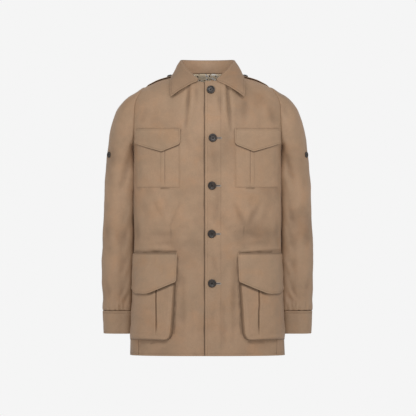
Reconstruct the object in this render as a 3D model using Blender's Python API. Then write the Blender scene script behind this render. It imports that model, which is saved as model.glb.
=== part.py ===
"""A waxed cotton safari jacket, worn shape, hollow: panels, collar, sleeves, pockets, tabs and buttons.

Sizes in the tables are millimetres from the base of the neck, +X to the wearer's left, -Y in front, +Z up.
"""

import math

import bmesh
import bpy
import numpy as np
from mathutils import Vector
from mathutils.bvhtree import BVHTree

MM = 0.001
WALL = 1.4
SEAM = 0.3
SEAM_SPARE = 0.1
HALF = 0.5
TINY = 1e-9
DENSE = 120
FLAP_DENSE = 60
CREST_HALVINGS = 22
RIGHT_ANGLE = math.pi / 2

UNDERARM = -182.0
SHOULDER_TIP = (176.0, -14.0)
NECK_SIDE = (80.0, 22.0)
NECK_FRONT = 1.0
NECK_BACK = 27.0
NECK_CLEAR = 14.0
BODY_CENTRE_DROP = 60.0
FAR_OUT = 400.0
FAR_UP = 200.0

# Ways that a surface faces.
FRONT_WAY = (0.3, -1.0, 0.1)
LEVEL_FRONT_WAY = (0.3, -1.0, 0.0)
BACK_WAY = (0.0, 1.0, 0.1)
UP = (0.0, 0.0, 1.0)
NO_WAY = (0.0, 0.0, 0.0)

# The horizontal rings of the body, from hem to neck.
RING_COLUMNS = ("height", "half_width", "front_depth", "back_depth", "power")
RING_ROWS = (
    (-765.2, 218.0, 124.0, 127.0, 2.60),
    (-705.0, 216.0, 123.0, 126.0, 2.60),
    (-610.0, 211.0, 120.0, 123.0, 2.60),
    (-530.0, 208.5, 118.0, 119.0, 2.60),
    (-456.0, 207.0, 116.0, 115.0, 2.60),
    (-400.0, 207.5, 115.0, 114.0, 2.60),
    (-330.0, 208.5, 117.0, 116.0, 2.60),
    (-260.0, 207.5, 119.0, 119.0, 2.55),
    (-215.0, 207.5, 119.5, 121.0, 2.50),
    (-182.0, 209.0, 119.0, 121.5, 2.50),
    (-140.0, 218.0, 117.0, 121.0, 2.50),
    (-95.0, 219.0, 112.0, 118.0, 2.50),
    (-66.0, 216.0, 106.0, 114.0, 2.40),
    (-48.0, 211.0, 101.0, 110.0, 2.30),
    (-28.0, 199.0, 93.0, 104.0, 2.15),
    (-14.0, 176.0, 86.5, 99.0, 2.05),
    (-5.6, 159.0, 82.0, 95.0, 2.00),
    (5.6, 134.0, 71.0, 88.0, 2.00),
    (15.0, 103.0, 56.0, 80.0, 2.00),
    (22.0, 80.0, 46.0, 74.0, 2.00),
    (27.0, 76.0, 44.0, 72.0, 2.00),
    (34.0, 74.0, 44.0, 71.0, 2.00),
)

# The armhole seam as seen from the front.
ARMHOLE_COLUMNS = ("height", "out")
ARMHOLE_ROWS = (
    (-182.0, 209.0),
    (-165.0, 207.8),
    (-140.0, 206.5),
    (-95.0, 205.0),
    (-66.0, 203.5),
    (-48.0, 199.0),
    (-28.0, 188.0),
    (-14.0, 176.0),
)

# The side seam, as a share of the ring's half width, and forward of the widest point below the waist.
SIDE_COLUMNS = ("height", "share")
SIDE_ROWS = (
    (-765.2, 0.885),
    (-700.0, 0.900),
    (-600.0, 0.935),
    (-450.0, 0.985),
    (-300.0, 0.998),
    (-182.0, 1.000),
)

# Rows of a body panel: heights below the armhole, then steps up to the shoulder.
LOW_HEIGHTS = (
    -765.2, -735.0, -690.0, -632.0, -574.0, -518.0,
    -462.0, -404.0, -344.0, -284.0, -230.0, -182.0,
)
HIGH_STEPS = 12
FRONT_COLUMNS = 10
BACK_HALF_COLUMNS = 8
FRONT_BEND = 0.68
BACK_BEND = 0.62
BEND_WEIGHT = 2.0
BEND_REACH = 0.22
CENTRE_STEP_SHARE = 7.0 / 12.0
CENTRE_CROWD = 1.4

LEFT_EDGE = -7.0
RIGHT_EDGE = -26.0
LAP_OUT = 0.6
LAP_IN = 2.0
LAP_OUT_FADE = (30.0, 52.0)
LAP_IN_FADE = (9.0, 32.0)
LAP_NECK = 1.2
LAP_NECK_FADE = (-30.0, -5.0)

# Sleeve rings, from the armhole to the wrist: inner and outer point as seen from the front, then depth.
SLEEVE_COLUMNS = ("in_x", "in_z", "out_x", "out_z", "centre_y", "half_depth", "power", "like_armhole")
SLEEVE_ROWS = (
    (211.0, -184.5, 202.0, -27.6, 2.0, 57.0, 2.05, 0.85),
    (211.8, -189.0, 224.0, -40.5, 8.0, 60.5, 2.08, 0.60),
    (210.8, -198.0, 246.0, -64.5, 16.0, 64.0, 2.10, 0.35),
    (208.8, -211.0, 263.0, -100.0, 26.0, 67.0, 2.10, 0.15),
    (207.2, -228.0, 275.5, -146.0, 35.0, 68.0, 2.10, 0.0),
    (206.2, -254.0, 284.0, -204.0, 41.5, 67.3, 2.10, 0.0),
    (205.8, -292.0, 289.4, -273.0, 45.5, 65.5, 2.10, 0.0),
    (205.8, -362.0, 293.0, -358.0, 48.4, 62.0, 2.10, 0.0),
    (205.4, -446.0, 297.1, -446.0, 51.3, 58.4, 2.10, 0.0),
    (205.8, -532.0, 298.2, -532.0, 54.2, 54.8, 2.10, 0.0),
    (208.0, -610.0, 295.8, -610.0, 57.0, 51.0, 2.10, 0.0),
    (209.8, -642.0, 294.0, -642.0, 58.0, 48.5, 2.10, 0.0),
)

# The cuff is a band round the wrist.
CUFF_ROWS = (
    (209.2, -642.4, 295.0, -642.4, 58.0, 49.6, 2.20, 0.0),
    (210.6, -664.0, 294.2, -664.0, 58.6, 48.8, 2.20, 0.0),
    (211.8, -686.0, 293.2, -686.0, 59.2, 48.0, 2.20, 0.0),
    (212.6, -706.7, 292.2, -706.7, 59.8, 47.4, 2.20, 0.0),
)
CUFF_WALL = 2.6
SLEEVE_EASE = 0.8

# The collar, from its front end round to the middle of the back: the turn in plan, the roll line
# and the outer edge.
COLLAR_COLUMNS = ("step", "turn", "roll_z", "edge_x", "edge_y", "edge_z", "bulge")
COLLAR_ROWS = (
    (0.00, 20.0, 8.5, 102.0, -94.0, -43.0, 2.5),
    (0.10, 28.0, 16.0, 103.6, -88.0, -29.0, 3.0),
    (0.20, 38.0, 26.0, 104.4, -77.0, -13.0, 3.2),
    (0.30, 49.0, 36.0, 104.4, -61.0, 2.0, 3.2),
    (0.40, 61.0, 45.5, 102.6, -40.0, 13.5, 3.0),
    (0.50, 76.0, 55.0, 98.8, -16.0, 20.5, 2.6),
    (0.60, 92.0, 60.0, 95.6, 10.0, 23.0, 2.6),
    (0.70, 110.0, 61.8, 89.0, 36.0, 23.0, 3.0),
    (0.80, 130.0, 62.0, 73.0, 61.0, 21.0, 3.4),
    (0.90, 154.0, 62.0, 43.0, 82.0, 18.0, 3.8),
    (1.00, 180.0, 62.0, 0.0, 92.0, 15.0, 4.0),
)
COLLAR_HALF_COLUMNS = 12
ROLL_HALF_WIDTH = 75.5
ROLL_FRONT = 79.0
ROLL_BACK = 74.0
STAND_INSET = 2.5
STAND_DROP = 2.0
STAND_FOOT_IN = 0.6
STAND_FOOT_UP = 1.5
STAND_ROWS = 4
STAND_WALL = 1.4
FALL_START = (-2.2, -1.2)
FALL_SHOULDER = (4.2, -4.2)
FALL_SHARES = (0.24, 0.50, 0.76, 1.0)
FALL_ROWS_ON_BODY = 3
FALL_CLEAR = 0.5
COLLAR_MIDDLE = (0.0, 0.0, 30.0)

CHEST_FLAP_TOP = -131.0
CHEST_INNER = 76.0
CHEST_OUTER = 198.5
CHEST_BAG_TOP = -140.0
CHEST_BAG_INNER = 77.2
CHEST_BAG_OUTER = 196.5
CHEST_BAG_BOTTOM = -295.4
CHEST_BAG_COLUMNS = 9
CHEST_BAG_ROWS = 6
CHEST_BAG_GAP = 0.75
SIDE_GAP = 0.5
SIDE_GAP_FADE = (0.6, 0.9)
CHEST_FLAP_COLUMNS = 9
CHEST_FLAP_ROWS = 3
CHEST_FLAP_LIFT = 1.1
# The lower edge of the chest flap: where it is across, and how low.
CHEST_FLAP_EDGE = (
    (76.0, -174.0),
    (98.0, -183.5),
    (120.4, -194.0),
    (160.0, -183.0),
    (198.5, -171.5),
)

LOWER_FLAP_TOP = -478.0
LOWER_INNER = 85.0
LOWER_WRAP = 0.9935
LOWER_BAG_TOP = -492.0
LOWER_BAG_BOTTOM = -721.0
LOWER_BAG_COLUMNS = 11
LOWER_BAG_ROWS = 10
LOWER_COLUMN_CROWD = 0.055
LOWER_ROW_CROWD = 0.05
LOWER_PROUD = 15.0
LOWER_SLOPE = 0.13
LOWER_SIDE_FADE = (0.52, 0.95)
LOWER_SIDE_DROP = 0.93
LOWER_FOOT_SLOPE = 0.10
LOWER_TOP_FADE = (0.70, 1.0)
LOWER_TOP_DROP = 0.85
LOWER_FLAP_REACH = 0.6
LOWER_FLAP_COLUMNS = 10
LOWER_FLAP_ROWS = 4
LOWER_FLAP_LIFT = 1.5
# The inner edge of the lower bag as seen from the front, and the lower edge of its flap.
LOWER_BAG_INNER_EDGE = (
    (-722.0, 99.5),
    (-708.0, 97.5),
    (-646.0, 92.5),
    (-560.0, 87.5),
    (-480.0, 86.0),
)
LOWER_FLAP_EDGE = (
    (85.0, -558.0),
    (112.0, -573.0),
    (141.0, -590.0),
    (182.0, -591.0),
    (212.0, -580.0),
)

EPAULETTE_COLUMNS = ("along", "centre_x", "centre_y", "half_width")
EPAULETTE_ROWS = (
    (0.00, 90.5, -11.0, 3.0),
    (0.12, 100.0, -8.5, 18.0),
    (0.30, 116.0, -3.0, 21.0),
    (0.60, 143.0, 7.0, 22.5),
    (1.00, 174.0, 17.0, 23.5),
)
EPAULETTE_LENGTH_ROWS = 7
EPAULETTE_WIDTH_COLUMNS = 4
EPAULETTE_LIFT = 1.3
EPAULETTE_CURL = 1.6
EPAULETTE_SLANT = 0.30

LINING_COLUMNS_EACH_SIDE = 2
LINING_ROWS = 5
LINING_WALL = 1.0

BUTTON_RADIUS = 11.6
BUTTON_SMALL_RADIUS = 7.6
BUTTON_SLEEVE_RADIUS = 8.5
BUTTON_SEGMENTS = 28
BUTTON_GAP = 0.5
EPAULETTE_BUTTON_SPARE = 0.5
SLEEVE_BUTTON_SPARE = 0.3
# The button's turned outline, as shares of its radius: out from the middle, then up from the cloth.
BUTTON_PROFILE = (
    (0.0, 0.13),
    (0.52, 0.13),
    (0.66, 0.20),
    (0.78, 0.27),
    (0.90, 0.26),
    (0.985, 0.19),
    (1.0, 0.12),
    (0.93, 0.03),
    (0.80, 0.0),
    (0.0, 0.0),
)
# The front buttons from the top: how far across and how high.
FRONT_BUTTONS = (
    (9.4, -23.5),
    (14.6, -157.4),
    (12.6, -290.4),
    (11.8, -424.8),
    (12.6, -562.8),
)
EPAULETTE_BUTTON = (105.6, -8.0)
SLEEVE_BUTTON = (3.0, -203.0)

CANVAS = (0.369, 0.246, 0.158, 1.0)
CANVAS_LIGHT = (0.384, 0.259, 0.168, 1.0)
LINING = (0.402, 0.318, 0.203, 1.0)
HORN = (0.020, 0.014, 0.012, 1.0)
CANVAS_ROUGHNESS = 0.62
LINING_ROUGHNESS = 0.85
HORN_ROUGHNESS = 0.28


def clear_scene():
    for item in list(bpy.data.objects):
        bpy.data.objects.remove(item, do_unlink=True)


def material(name, colour, roughness):
    made = bpy.data.materials.new(name)
    made.use_nodes = True
    shader = made.node_tree.nodes["Principled BSDF"]
    shader.inputs["Base Color"].default_value = colour
    shader.inputs["Roughness"].default_value = roughness
    shader.inputs["Metallic"].default_value = 0.0
    return made


def curve_value(along, values, at):
    """A smooth curve through the table's points, flat where they turn, read at one place."""
    along = np.asarray(along, float)
    values = np.asarray(values, float)
    at = min(max(at, along[0]), along[-1])
    index = int(np.searchsorted(along, at, side="right")) - 1
    index = min(max(index, 0), len(along) - 2)
    steps = np.diff(along)
    slopes = np.diff(values) / steps

    def tangent(k):
        if k == 0:
            return slopes[0]
        if k == len(along) - 1:
            return slopes[-1]
        if slopes[k - 1] * slopes[k] <= 0.0:
            return 0.0
        return 2.0 * slopes[k - 1] * slopes[k] / (slopes[k - 1] + slopes[k])

    width = steps[index]
    share = (at - along[index]) / width
    first = (1.0 + 2.0 * share) * (1.0 - share) ** 2
    second = share * (1.0 - share) ** 2
    third = share * share * (3.0 - 2.0 * share)
    fourth = share * share * (share - 1.0)
    start = first * values[index] + second * width * tangent(index)
    return start + third * values[index + 1] + fourth * width * tangent(index + 1)


def column(rows, columns, name, at):
    """A named column of a table, read between its rows."""
    place = columns.index(name)
    return curve_value([row[0] for row in rows], [row[place] for row in rows], at)


def points_value(points, at):
    return curve_value([p[0] for p in points], [p[1] for p in points], at)


def fade(value, start, end):
    share = min(max((value - start) / (end - start), 0.0), 1.0)
    return share * share * (3.0 - 2.0 * share)


def ring(height):
    names = RING_COLUMNS[1:]
    return [column(RING_ROWS, RING_COLUMNS, name, height) for name in names]


def skin(x, height, side):
    """The body surface at a place seen from the front; side is -1 in front and 1 behind."""
    half_width, front, back, power = ring(height)
    share = min(abs(x) / half_width, 1.0)
    depth = front if side < 0 else back
    return np.array((x, side * depth * (1.0 - share**power) ** (1.0 / power), height))


def crest_height(x):
    """How high the top edge of a body panel is, out from the middle."""
    if x <= NECK_SIDE[0]:
        share = max(x, 0.0) / NECK_SIDE[0]
        return NECK_BACK + (NECK_SIDE[1] - NECK_BACK) * share * share
    low, high = SHOULDER_TIP[1], NECK_SIDE[1]
    for _ in range(CREST_HALVINGS):
        middle = (low + high) * HALF
        if ring(middle)[0] > x:
            low = middle
        else:
            high = middle
    return (low + high) * HALF


def along_row(points, shares):
    """Points at these shares of the length of a dense row."""
    points = np.asarray(points)
    steps = np.linalg.norm(np.diff(points, axis=0), axis=1)
    length = np.concatenate(([0.0], np.cumsum(steps)))
    wanted = np.asarray(shares) * length[-1]
    return np.stack([np.interp(wanted, length, points[:, k]) for k in range(3)], axis=1)


def low_row(height, start_x, side, shares):
    half_width, front, back, power = ring(height)
    share = column(SIDE_ROWS, SIDE_COLUMNS, "share", height)
    end_turn = math.asin(min(share ** (power / 2.0), 1.0))
    if side > 0:
        start_turn = math.pi
    else:
        start = start_x / half_width
        start_turn = math.copysign(math.asin(abs(start) ** (power / 2.0)), start)
    dense = []
    for turn in np.linspace(start_turn, end_turn, DENSE):
        sine = math.sin(turn)
        cosine = math.cos(turn)
        x = half_width * math.copysign(abs(sine) ** (2.0 / power), sine)
        limit = front if cosine > 0.0 else back
        y = -math.copysign(abs(cosine) ** (2.0 / power), cosine) * limit
        dense.append((x, y, height))
    return along_row(dense, shares)


def front_inner(step, start_x):
    """Up the front edge, then round the neck to the shoulder seam."""
    if step <= CENTRE_STEP_SHARE:
        share = 1.0 - (1.0 - step / CENTRE_STEP_SHARE) ** CENTRE_CROWD
        return start_x, UNDERARM + (NECK_FRONT - UNDERARM) * share
    share = (step - CENTRE_STEP_SHARE) / (1.0 - CENTRE_STEP_SHARE)
    start_turn = math.asin(start_x / NECK_SIDE[0])
    turn = start_turn + (RIGHT_ANGLE - start_turn) * share
    rise = (NECK_SIDE[1] - NECK_FRONT) * (1.0 - math.cos(turn)) / (1.0 - math.cos(RIGHT_ANGLE))
    return NECK_SIDE[0] * math.sin(turn), NECK_FRONT + rise


def back_inner(step):
    return 0.0, UNDERARM + (NECK_BACK - UNDERARM) * step


def armhole(step):
    middle = (UNDERARM + SHOULDER_TIP[1]) * HALF
    reach = (SHOULDER_TIP[1] - UNDERARM) * HALF
    height = middle - reach * math.cos(math.pi * step)
    return column(ARMHOLE_ROWS, ARMHOLE_COLUMNS, "out", height), height


def high_row(step, inner, side, shares):
    in_x, in_z = inner
    out_x, out_z = armhole(step)
    in_drop = math.sqrt(max(crest_height(abs(in_x)) - in_z, 0.0))
    out_crest = crest_height(min(out_x, SHOULDER_TIP[0])) - max(out_x - SHOULDER_TIP[0], 0.0) * HALF
    out_drop = math.sqrt(max(out_crest - out_z, 0.0))
    dense = []
    for share in np.linspace(0.0, 1.0, DENSE):
        x = in_x + (out_x - in_x) * share
        crest = crest_height(min(abs(x), SHOULDER_TIP[0])) - max(x - SHOULDER_TIP[0], 0.0) * HALF
        drop = in_drop + (out_drop - in_drop) * share
        height = crest - drop * drop
        if step == 0.0:
            height = UNDERARM
        dense.append(skin(x, height, side))
    return along_row(dense, shares)


def unit(vectors):
    size = np.linalg.norm(vectors, axis=-1, keepdims=True)
    return vectors / np.maximum(size, TINY)


def grid_normals(grid, loops, outward):
    """Normals of a grid of rows by columns, turned to the side that outward points to."""
    if loops:
        across = np.roll(grid, -1, axis=1) - np.roll(grid, 1, axis=1)
    else:
        across = np.gradient(grid, axis=1)
    up = np.gradient(grid, axis=0)
    normals = unit(np.cross(across, up))
    flips = np.sign(np.sum(normals * outward))
    return normals * (flips if flips else 1.0)


def solid(name, outer, inner, loops, finish):
    """One closed wall between two grids of rows by columns."""
    rows, columns = outer.shape[:2]
    points = np.concatenate((outer.reshape(-1, 3), inner.reshape(-1, 3))) * MM
    size = rows * columns
    faces = []
    last = columns if loops else columns - 1
    for i in range(rows - 1):
        for j in range(last):
            k = (j + 1) % columns
            a, b, c, d = i * columns + j, i * columns + k, (i + 1) * columns + k, (i + 1) * columns + j
            faces.append((a, b, c))
            faces.append((a, c, d))
            faces.append((size + c, size + b, size + a))
            faces.append((size + d, size + c, size + a))
    for j in range(last):
        k = (j + 1) % columns
        faces.append((j, size + j, size + k, k))
        top = (rows - 1) * columns
        faces.append((top + k, size + top + k, size + top + j, top + j))
    if not loops:
        for i in range(rows - 1):
            a, d = i * columns, (i + 1) * columns
            faces.append((d, size + d, size + a, a))
            b, c = a + columns - 1, d + columns - 1
            faces.append((b, size + b, size + c, c))
    mesh = bpy.data.meshes.new(name)
    mesh.from_pydata([tuple(p) for p in points], [], faces)
    work = bmesh.new()
    work.from_mesh(mesh)
    bmesh.ops.recalc_face_normals(work, faces=work.faces)
    work.to_mesh(mesh)
    work.free()
    for face in mesh.polygons:
        face.use_smooth = True
    mesh.materials.append(finish)
    made = bpy.data.objects.new(name, mesh)
    bpy.context.collection.objects.link(made)
    return made


def mirrored(grid):
    return grid * np.array((-1.0, 1.0, 1.0))


def tree_of(*grids):
    """A search tree over the facets of these grids, in millimetres."""
    points = []
    faces = []
    for grid, loops in grids:
        rows, columns = grid.shape[:2]
        base = len(points)
        points.extend(Vector(p) for p in grid.reshape(-1, 3))
        last = columns if loops else columns - 1
        for i in range(rows - 1):
            for j in range(last):
                k = (j + 1) % columns
                a, b = base + i * columns + j, base + i * columns + k
                c, d = base + (i + 1) * columns + k, base + (i + 1) * columns + j
                faces.append((a, b, c, d))
    return BVHTree.FromPolygons(points, faces)


def kept_clear(grid, tree, gap):
    """Points nearer than the gap to the cloth under them, moved straight out to the gap."""
    moved = grid.copy()
    for place in np.ndindex(grid.shape[:2]):
        point = Vector(grid[place])
        found, normal, _, distance = tree.find_nearest(point)
        outward = normal
        centre = Vector((0.0, 0.0, point.z - BODY_CENTRE_DROP))
        if outward.dot(found - centre) < 0.0:
            outward = -outward
        height = (point - found).dot(outward)
        if height < gap:
            moved[place] = point + outward * (gap - height)
    return moved


def shared_edge(first, second):
    total = unit(first + second)
    return total.copy(), total.copy()


def closer_at_bend(count, middle):
    """Shares from 0 to 1, nearer one another where the body rounds from front to side."""
    places = np.linspace(0.0, 1.0, DENSE)
    weight = 1.0 + BEND_WEIGHT * np.exp(-(((places - middle) / BEND_REACH) ** 2))
    total = np.concatenate(([0.0], np.cumsum((weight[1:] + weight[:-1]) * HALF)))
    return np.interp(np.linspace(0.0, 1.0, count), total / total[-1], places)


def body_panels():
    """The outside grids of one front with each edge, and of the half back."""
    shares = closer_at_bend(FRONT_COLUMNS, FRONT_BEND)
    back_shares = closer_at_bend(BACK_HALF_COLUMNS, BACK_BEND)
    steps = np.linspace(0.0, 1.0, HIGH_STEPS + 1)
    fronts = {}
    for name, start in (("left", LEFT_EDGE), ("right", RIGHT_EDGE)):
        rows = [low_row(height, start, -1, shares) for height in LOW_HEIGHTS]
        rows += [high_row(step, front_inner(step, start), -1, shares) for step in steps[1:]]
        fronts[name] = np.array(rows)
    rows = [low_row(height, 0.0, 1, back_shares) for height in LOW_HEIGHTS]
    rows += [high_row(step, back_inner(step), 1, back_shares) for step in steps[1:]]
    return fronts, np.array(rows)


def build():
    clear_scene()
    canvas = material("waxed_canvas", CANVAS, CANVAS_ROUGHNESS)
    canvas_light = material("waxed_canvas_trim", CANVAS_LIGHT, CANVAS_ROUGHNESS)
    lining = material("lining_print", LINING, LINING_ROUGHNESS)
    horn = material("horn_button", HORN, HORN_ROUGHNESS)

    fronts, half_back = body_panels()
    front_normals = {name: grid_normals(grid, False, FRONT_WAY) for name, grid in fronts.items()}
    whole_back = np.concatenate((mirrored(half_back)[:, :0:-1], half_back), axis=1)
    back_normals = grid_normals(whole_back, False, BACK_WAY)
    half_normals = back_normals[:, BACK_HALF_COLUMNS - 1 :]

    for name in fronts:
        edge, other = shared_edge(front_normals[name][:, -1], half_normals[:, -1])
        front_normals[name][:, -1] = edge
        half_normals[:, -1] = other
        crest = front_normals[name][-1]
        front_normals[name][-1] = unit(crest * np.array((1.0, 0.0, 1.0)))
    seam_shift = (SEAM + SEAM_SPARE) * HALF
    for name, grid in fronts.items():
        grid[:, -1] -= unit(grid[:, -1] - grid[:, -2]) * seam_shift
        grid[-1] -= unit(grid[-1] - grid[-2]) * seam_shift
    half_back[:, -1] -= unit(half_back[:, -1] - half_back[:, -2]) * seam_shift
    top_columns = half_back[-1, :, 0] > NECK_SIDE[0] - NECK_CLEAR
    rising = half_back[-1, top_columns] - half_back[-2, top_columns]
    half_back[-1, top_columns] -= unit(rising) * seam_shift
    crest_normals = half_normals[-1] * np.array((1.0, 0.0, 1.0))
    half_normals[-1, top_columns] = unit(crest_normals)[top_columns]
    whole_back = np.concatenate((mirrored(half_back)[:, :0:-1], half_back), axis=1)
    back_normals = np.concatenate((mirrored(half_normals)[:, :0:-1], half_normals), axis=1)

    lapped = {}
    for name, grid in fronts.items():
        shift = np.zeros(grid.shape[:2])
        for place in np.ndindex(grid.shape[:2]):
            x = grid[place][0]
            if name == "left":
                shift[place] = LAP_OUT * (1.0 - fade(x, *LAP_OUT_FADE))
            else:
                deep = LAP_IN + LAP_NECK * fade(grid[place][2], *LAP_NECK_FADE)
                shift[place] = -deep * (1.0 - fade(x, *LAP_IN_FADE))
        lapped[name] = grid + front_normals[name] * shift[..., None]
    front_left = lapped["left"]
    front_right = lapped["right"]
    solid("front_left", front_left, front_left - front_normals["left"] * WALL, False, canvas)
    right_inner = front_right - front_normals["right"] * WALL
    solid("front_right", mirrored(front_right), mirrored(right_inner), False, canvas)
    solid("back", whole_back, whole_back - back_normals * WALL, False, canvas)

    middle = BACK_HALF_COLUMNS - 1
    low, high = middle - LINING_COLUMNS_EACH_SIDE, middle + LINING_COLUMNS_EACH_SIDE + 1
    strip = whole_back[-LINING_ROWS:, low:high]
    strip_normals = back_normals[-LINING_ROWS:, low:high]
    strip = strip - strip_normals * (WALL + SEAM + SEAM_SPARE)
    solid("neck_lining", strip, strip - strip_normals * LINING_WALL, False, lining)

    body_left = tree_of((fronts["left"], False), (half_back, False), (front_left, False))
    build_collar(canvas, body_left)
    sleeve = build_sleeves(canvas, canvas_light)
    build_pockets(canvas, canvas_light, body_left)
    epaulette = build_epaulettes(canvas_light, body_left)
    build_buttons(horn, tree_of((front_left, False)), epaulette, sleeve)


def collar_ring(turn, front, back, half_width):
    depth = front if math.cos(turn) > 0.0 else back
    return half_width * math.sin(turn), -depth * math.cos(turn)


def neck_height(turn):
    if turn <= RIGHT_ANGLE:
        return NECK_FRONT + (NECK_SIDE[1] - NECK_FRONT) * (1.0 - math.cos(turn))
    share = math.sin(turn)
    return NECK_BACK + (NECK_SIDE[1] - NECK_BACK) * share * share


def build_collar(finish, body):
    steps = np.linspace(0.0, 1.0, COLLAR_HALF_COLUMNS)
    stand = []
    fall = []
    for step in steps:
        names = COLLAR_COLUMNS[1:]
        read = {name: column(COLLAR_ROWS, COLLAR_COLUMNS, name, step) for name in names}
        turn = math.radians(read["turn"])
        outward = np.array((math.sin(turn), -math.cos(turn), 0.0))
        up = np.array(UP)
        roll_x, roll_y = collar_ring(turn, ROLL_FRONT, ROLL_BACK, ROLL_HALF_WIDTH)
        roll = np.array((roll_x, roll_y, read["roll_z"]))
        edge = np.array((read["edge_x"], read["edge_y"], read["edge_z"]))
        neck_front = -skin(0.0, NECK_FRONT, -1)[1]
        neck_back = skin(0.0, NECK_BACK, 1)[1]
        foot_x, foot_y = collar_ring(turn, neck_front, neck_back, NECK_SIDE[0])
        foot = np.array((foot_x, foot_y, neck_height(turn) + STAND_FOOT_UP))
        foot = foot - outward * STAND_FOOT_IN
        top = roll - outward * STAND_INSET - up * STAND_DROP
        stand.append([foot + (top - foot) * share for share in np.linspace(0.0, 1.0, STAND_ROWS)])
        section = [roll + outward * FALL_START[0] + up * FALL_START[1], roll]
        shoulder = roll + outward * FALL_SHOULDER[0] + up * FALL_SHOULDER[1]
        section.append(shoulder)
        reach = edge - shoulder
        lift = unit(np.cross(np.cross(reach, up), reach))
        for share in FALL_SHARES:
            arch = 4.0 * share * (1.0 - share)
            section.append(shoulder + reach * share + lift * read["bulge"] * arch)
        fall.append(section)
    stand = np.array(stand).transpose(1, 0, 2)
    fall = np.array(fall).transpose(1, 0, 2)
    stand = np.concatenate((stand, mirrored(stand)[:, -2::-1]), axis=1)
    lying = fall[FALL_ROWS_ON_BODY:]
    fall[FALL_ROWS_ON_BODY:] = kept_clear(lying, body, WALL + SEAM + FALL_CLEAR)
    fall = np.concatenate((fall, mirrored(fall)[:, -2::-1]), axis=1)
    stand_normals = grid_normals(stand, False, NO_WAY)
    centre = np.array(COLLAR_MIDDLE)
    toward = np.sum(stand_normals * (stand - centre), axis=-1)
    stand_normals = stand_normals * np.sign(np.median(toward))
    solid("collar_stand", stand, stand - stand_normals * STAND_WALL, False, finish)
    fall_normals = grid_normals(fall, False, NO_WAY)
    shown = FALL_ROWS_ON_BODY + 1
    toward = np.sum(fall_normals[shown] * (fall[shown] - centre), axis=-1)
    fall_normals = fall_normals * np.sign(np.median(toward))
    solid("collar_fall", fall, fall - fall_normals * WALL, False, finish)


def tube_ring(row, turns, first):
    """One ring of a sleeve, from the top round by the front.

    Near the shoulder it keeps the armhole's own shape.
    """
    read = dict(zip(SLEEVE_COLUMNS, row))
    inner = np.array((read["in_x"], 0.0, read["in_z"]))
    outer = np.array((read["out_x"], 0.0, read["out_z"]))
    middle = (inner + outer) * HALF
    reach = (outer - inner) * HALF
    top, foot = first[0], first[len(first) // 2]
    depth_scale = read["half_depth"] / np.abs(first[:, 1]).max()
    like = read["like_armhole"]
    points = []
    for turn, own in zip(turns, first):
        cosine, sine = math.cos(turn), math.sin(turn)
        share = math.copysign(abs(cosine) ** (2.0 / read["power"]), cosine)
        depth = -math.copysign(abs(sine) ** (2.0 / read["power"]), sine) * read["half_depth"]
        share += (cosine - share) * like
        depth += (own[1] * depth_scale - depth) * like
        straight = foot[0] + (top[0] - foot[0]) * (own[2] - foot[2]) / (top[2] - foot[2])
        bow = (own[0] - straight) * like
        points.append(middle + reach * share + np.array((bow, read["centre_y"] + depth, 0.0)))
    return points


def build_sleeves(finish, cuff_finish):
    steps = np.linspace(0.0, 1.0, HIGH_STEPS + 1)
    first = []
    for step in steps[::-1]:
        x, z = armhole(step)
        first.append(skin(x, z, -1))
    for step in steps[1:-1]:
        x, z = armhole(step)
        first.append(skin(x, z, 1))
    first = np.array(first) + np.array((SEAM + SLEEVE_EASE, 0.0, 0.0))
    turns = np.linspace(0.0, 2.0 * math.pi, 2 * HIGH_STEPS + 1)[:-1]
    rings = [first]
    rings += [np.array(tube_ring(row, turns, first)) for row in SLEEVE_ROWS]
    sleeve = np.array(rings)
    cuff = np.array([tube_ring(row, turns, first) for row in CUFF_ROWS])
    for name, rows, wall, look in (("sleeve", sleeve, WALL, finish), ("cuff", cuff, CUFF_WALL, cuff_finish)):
        normals = grid_normals(rows, True, NO_WAY)
        middle = rows.mean(axis=1, keepdims=True)
        normals = normals * np.sign(np.median(np.sum(normals * (rows - middle), axis=-1)))
        inner = rows - normals * wall
        solid(name + "_left", rows, inner, True, look)
        solid(name + "_right", mirrored(rows), mirrored(inner), True, look)
    return sleeve


def bag_grid(inner_edge, outer_edge, heights, shares):
    """Places on the front ring between two edges given as half widths, by the ring's own length."""
    rows = []
    for height in heights:
        start = inner_edge(height)
        end = outer_edge(height)
        half_width, front, _, power = ring(height)
        first = math.asin((start / half_width) ** (power / 2.0))
        last = math.asin(min(end / half_width, 1.0) ** (power / 2.0))
        dense = []
        for turn in np.linspace(first, last, DENSE):
            x = half_width * math.sin(turn) ** (2.0 / power)
            y = -front * math.cos(turn) ** (2.0 / power)
            dense.append((x, y, height))
        rows.append(along_row(dense, shares))
    return np.array(rows)


def ring_normals(grid):
    """Outward normals of the body at these points, level."""
    normals = np.zeros(grid.shape)
    for place in np.ndindex(grid.shape[:2]):
        x, y, height = grid[place]
        half_width, front, _, power = ring(height)
        along = (max(x, 0.0) / half_width) ** (power - 1.0) / half_width
        deep = (max(-y, 0.0) / front) ** (power - 1.0) / front
        normals[place] = (along, -deep, 0.0)
    return unit(normals)


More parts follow.
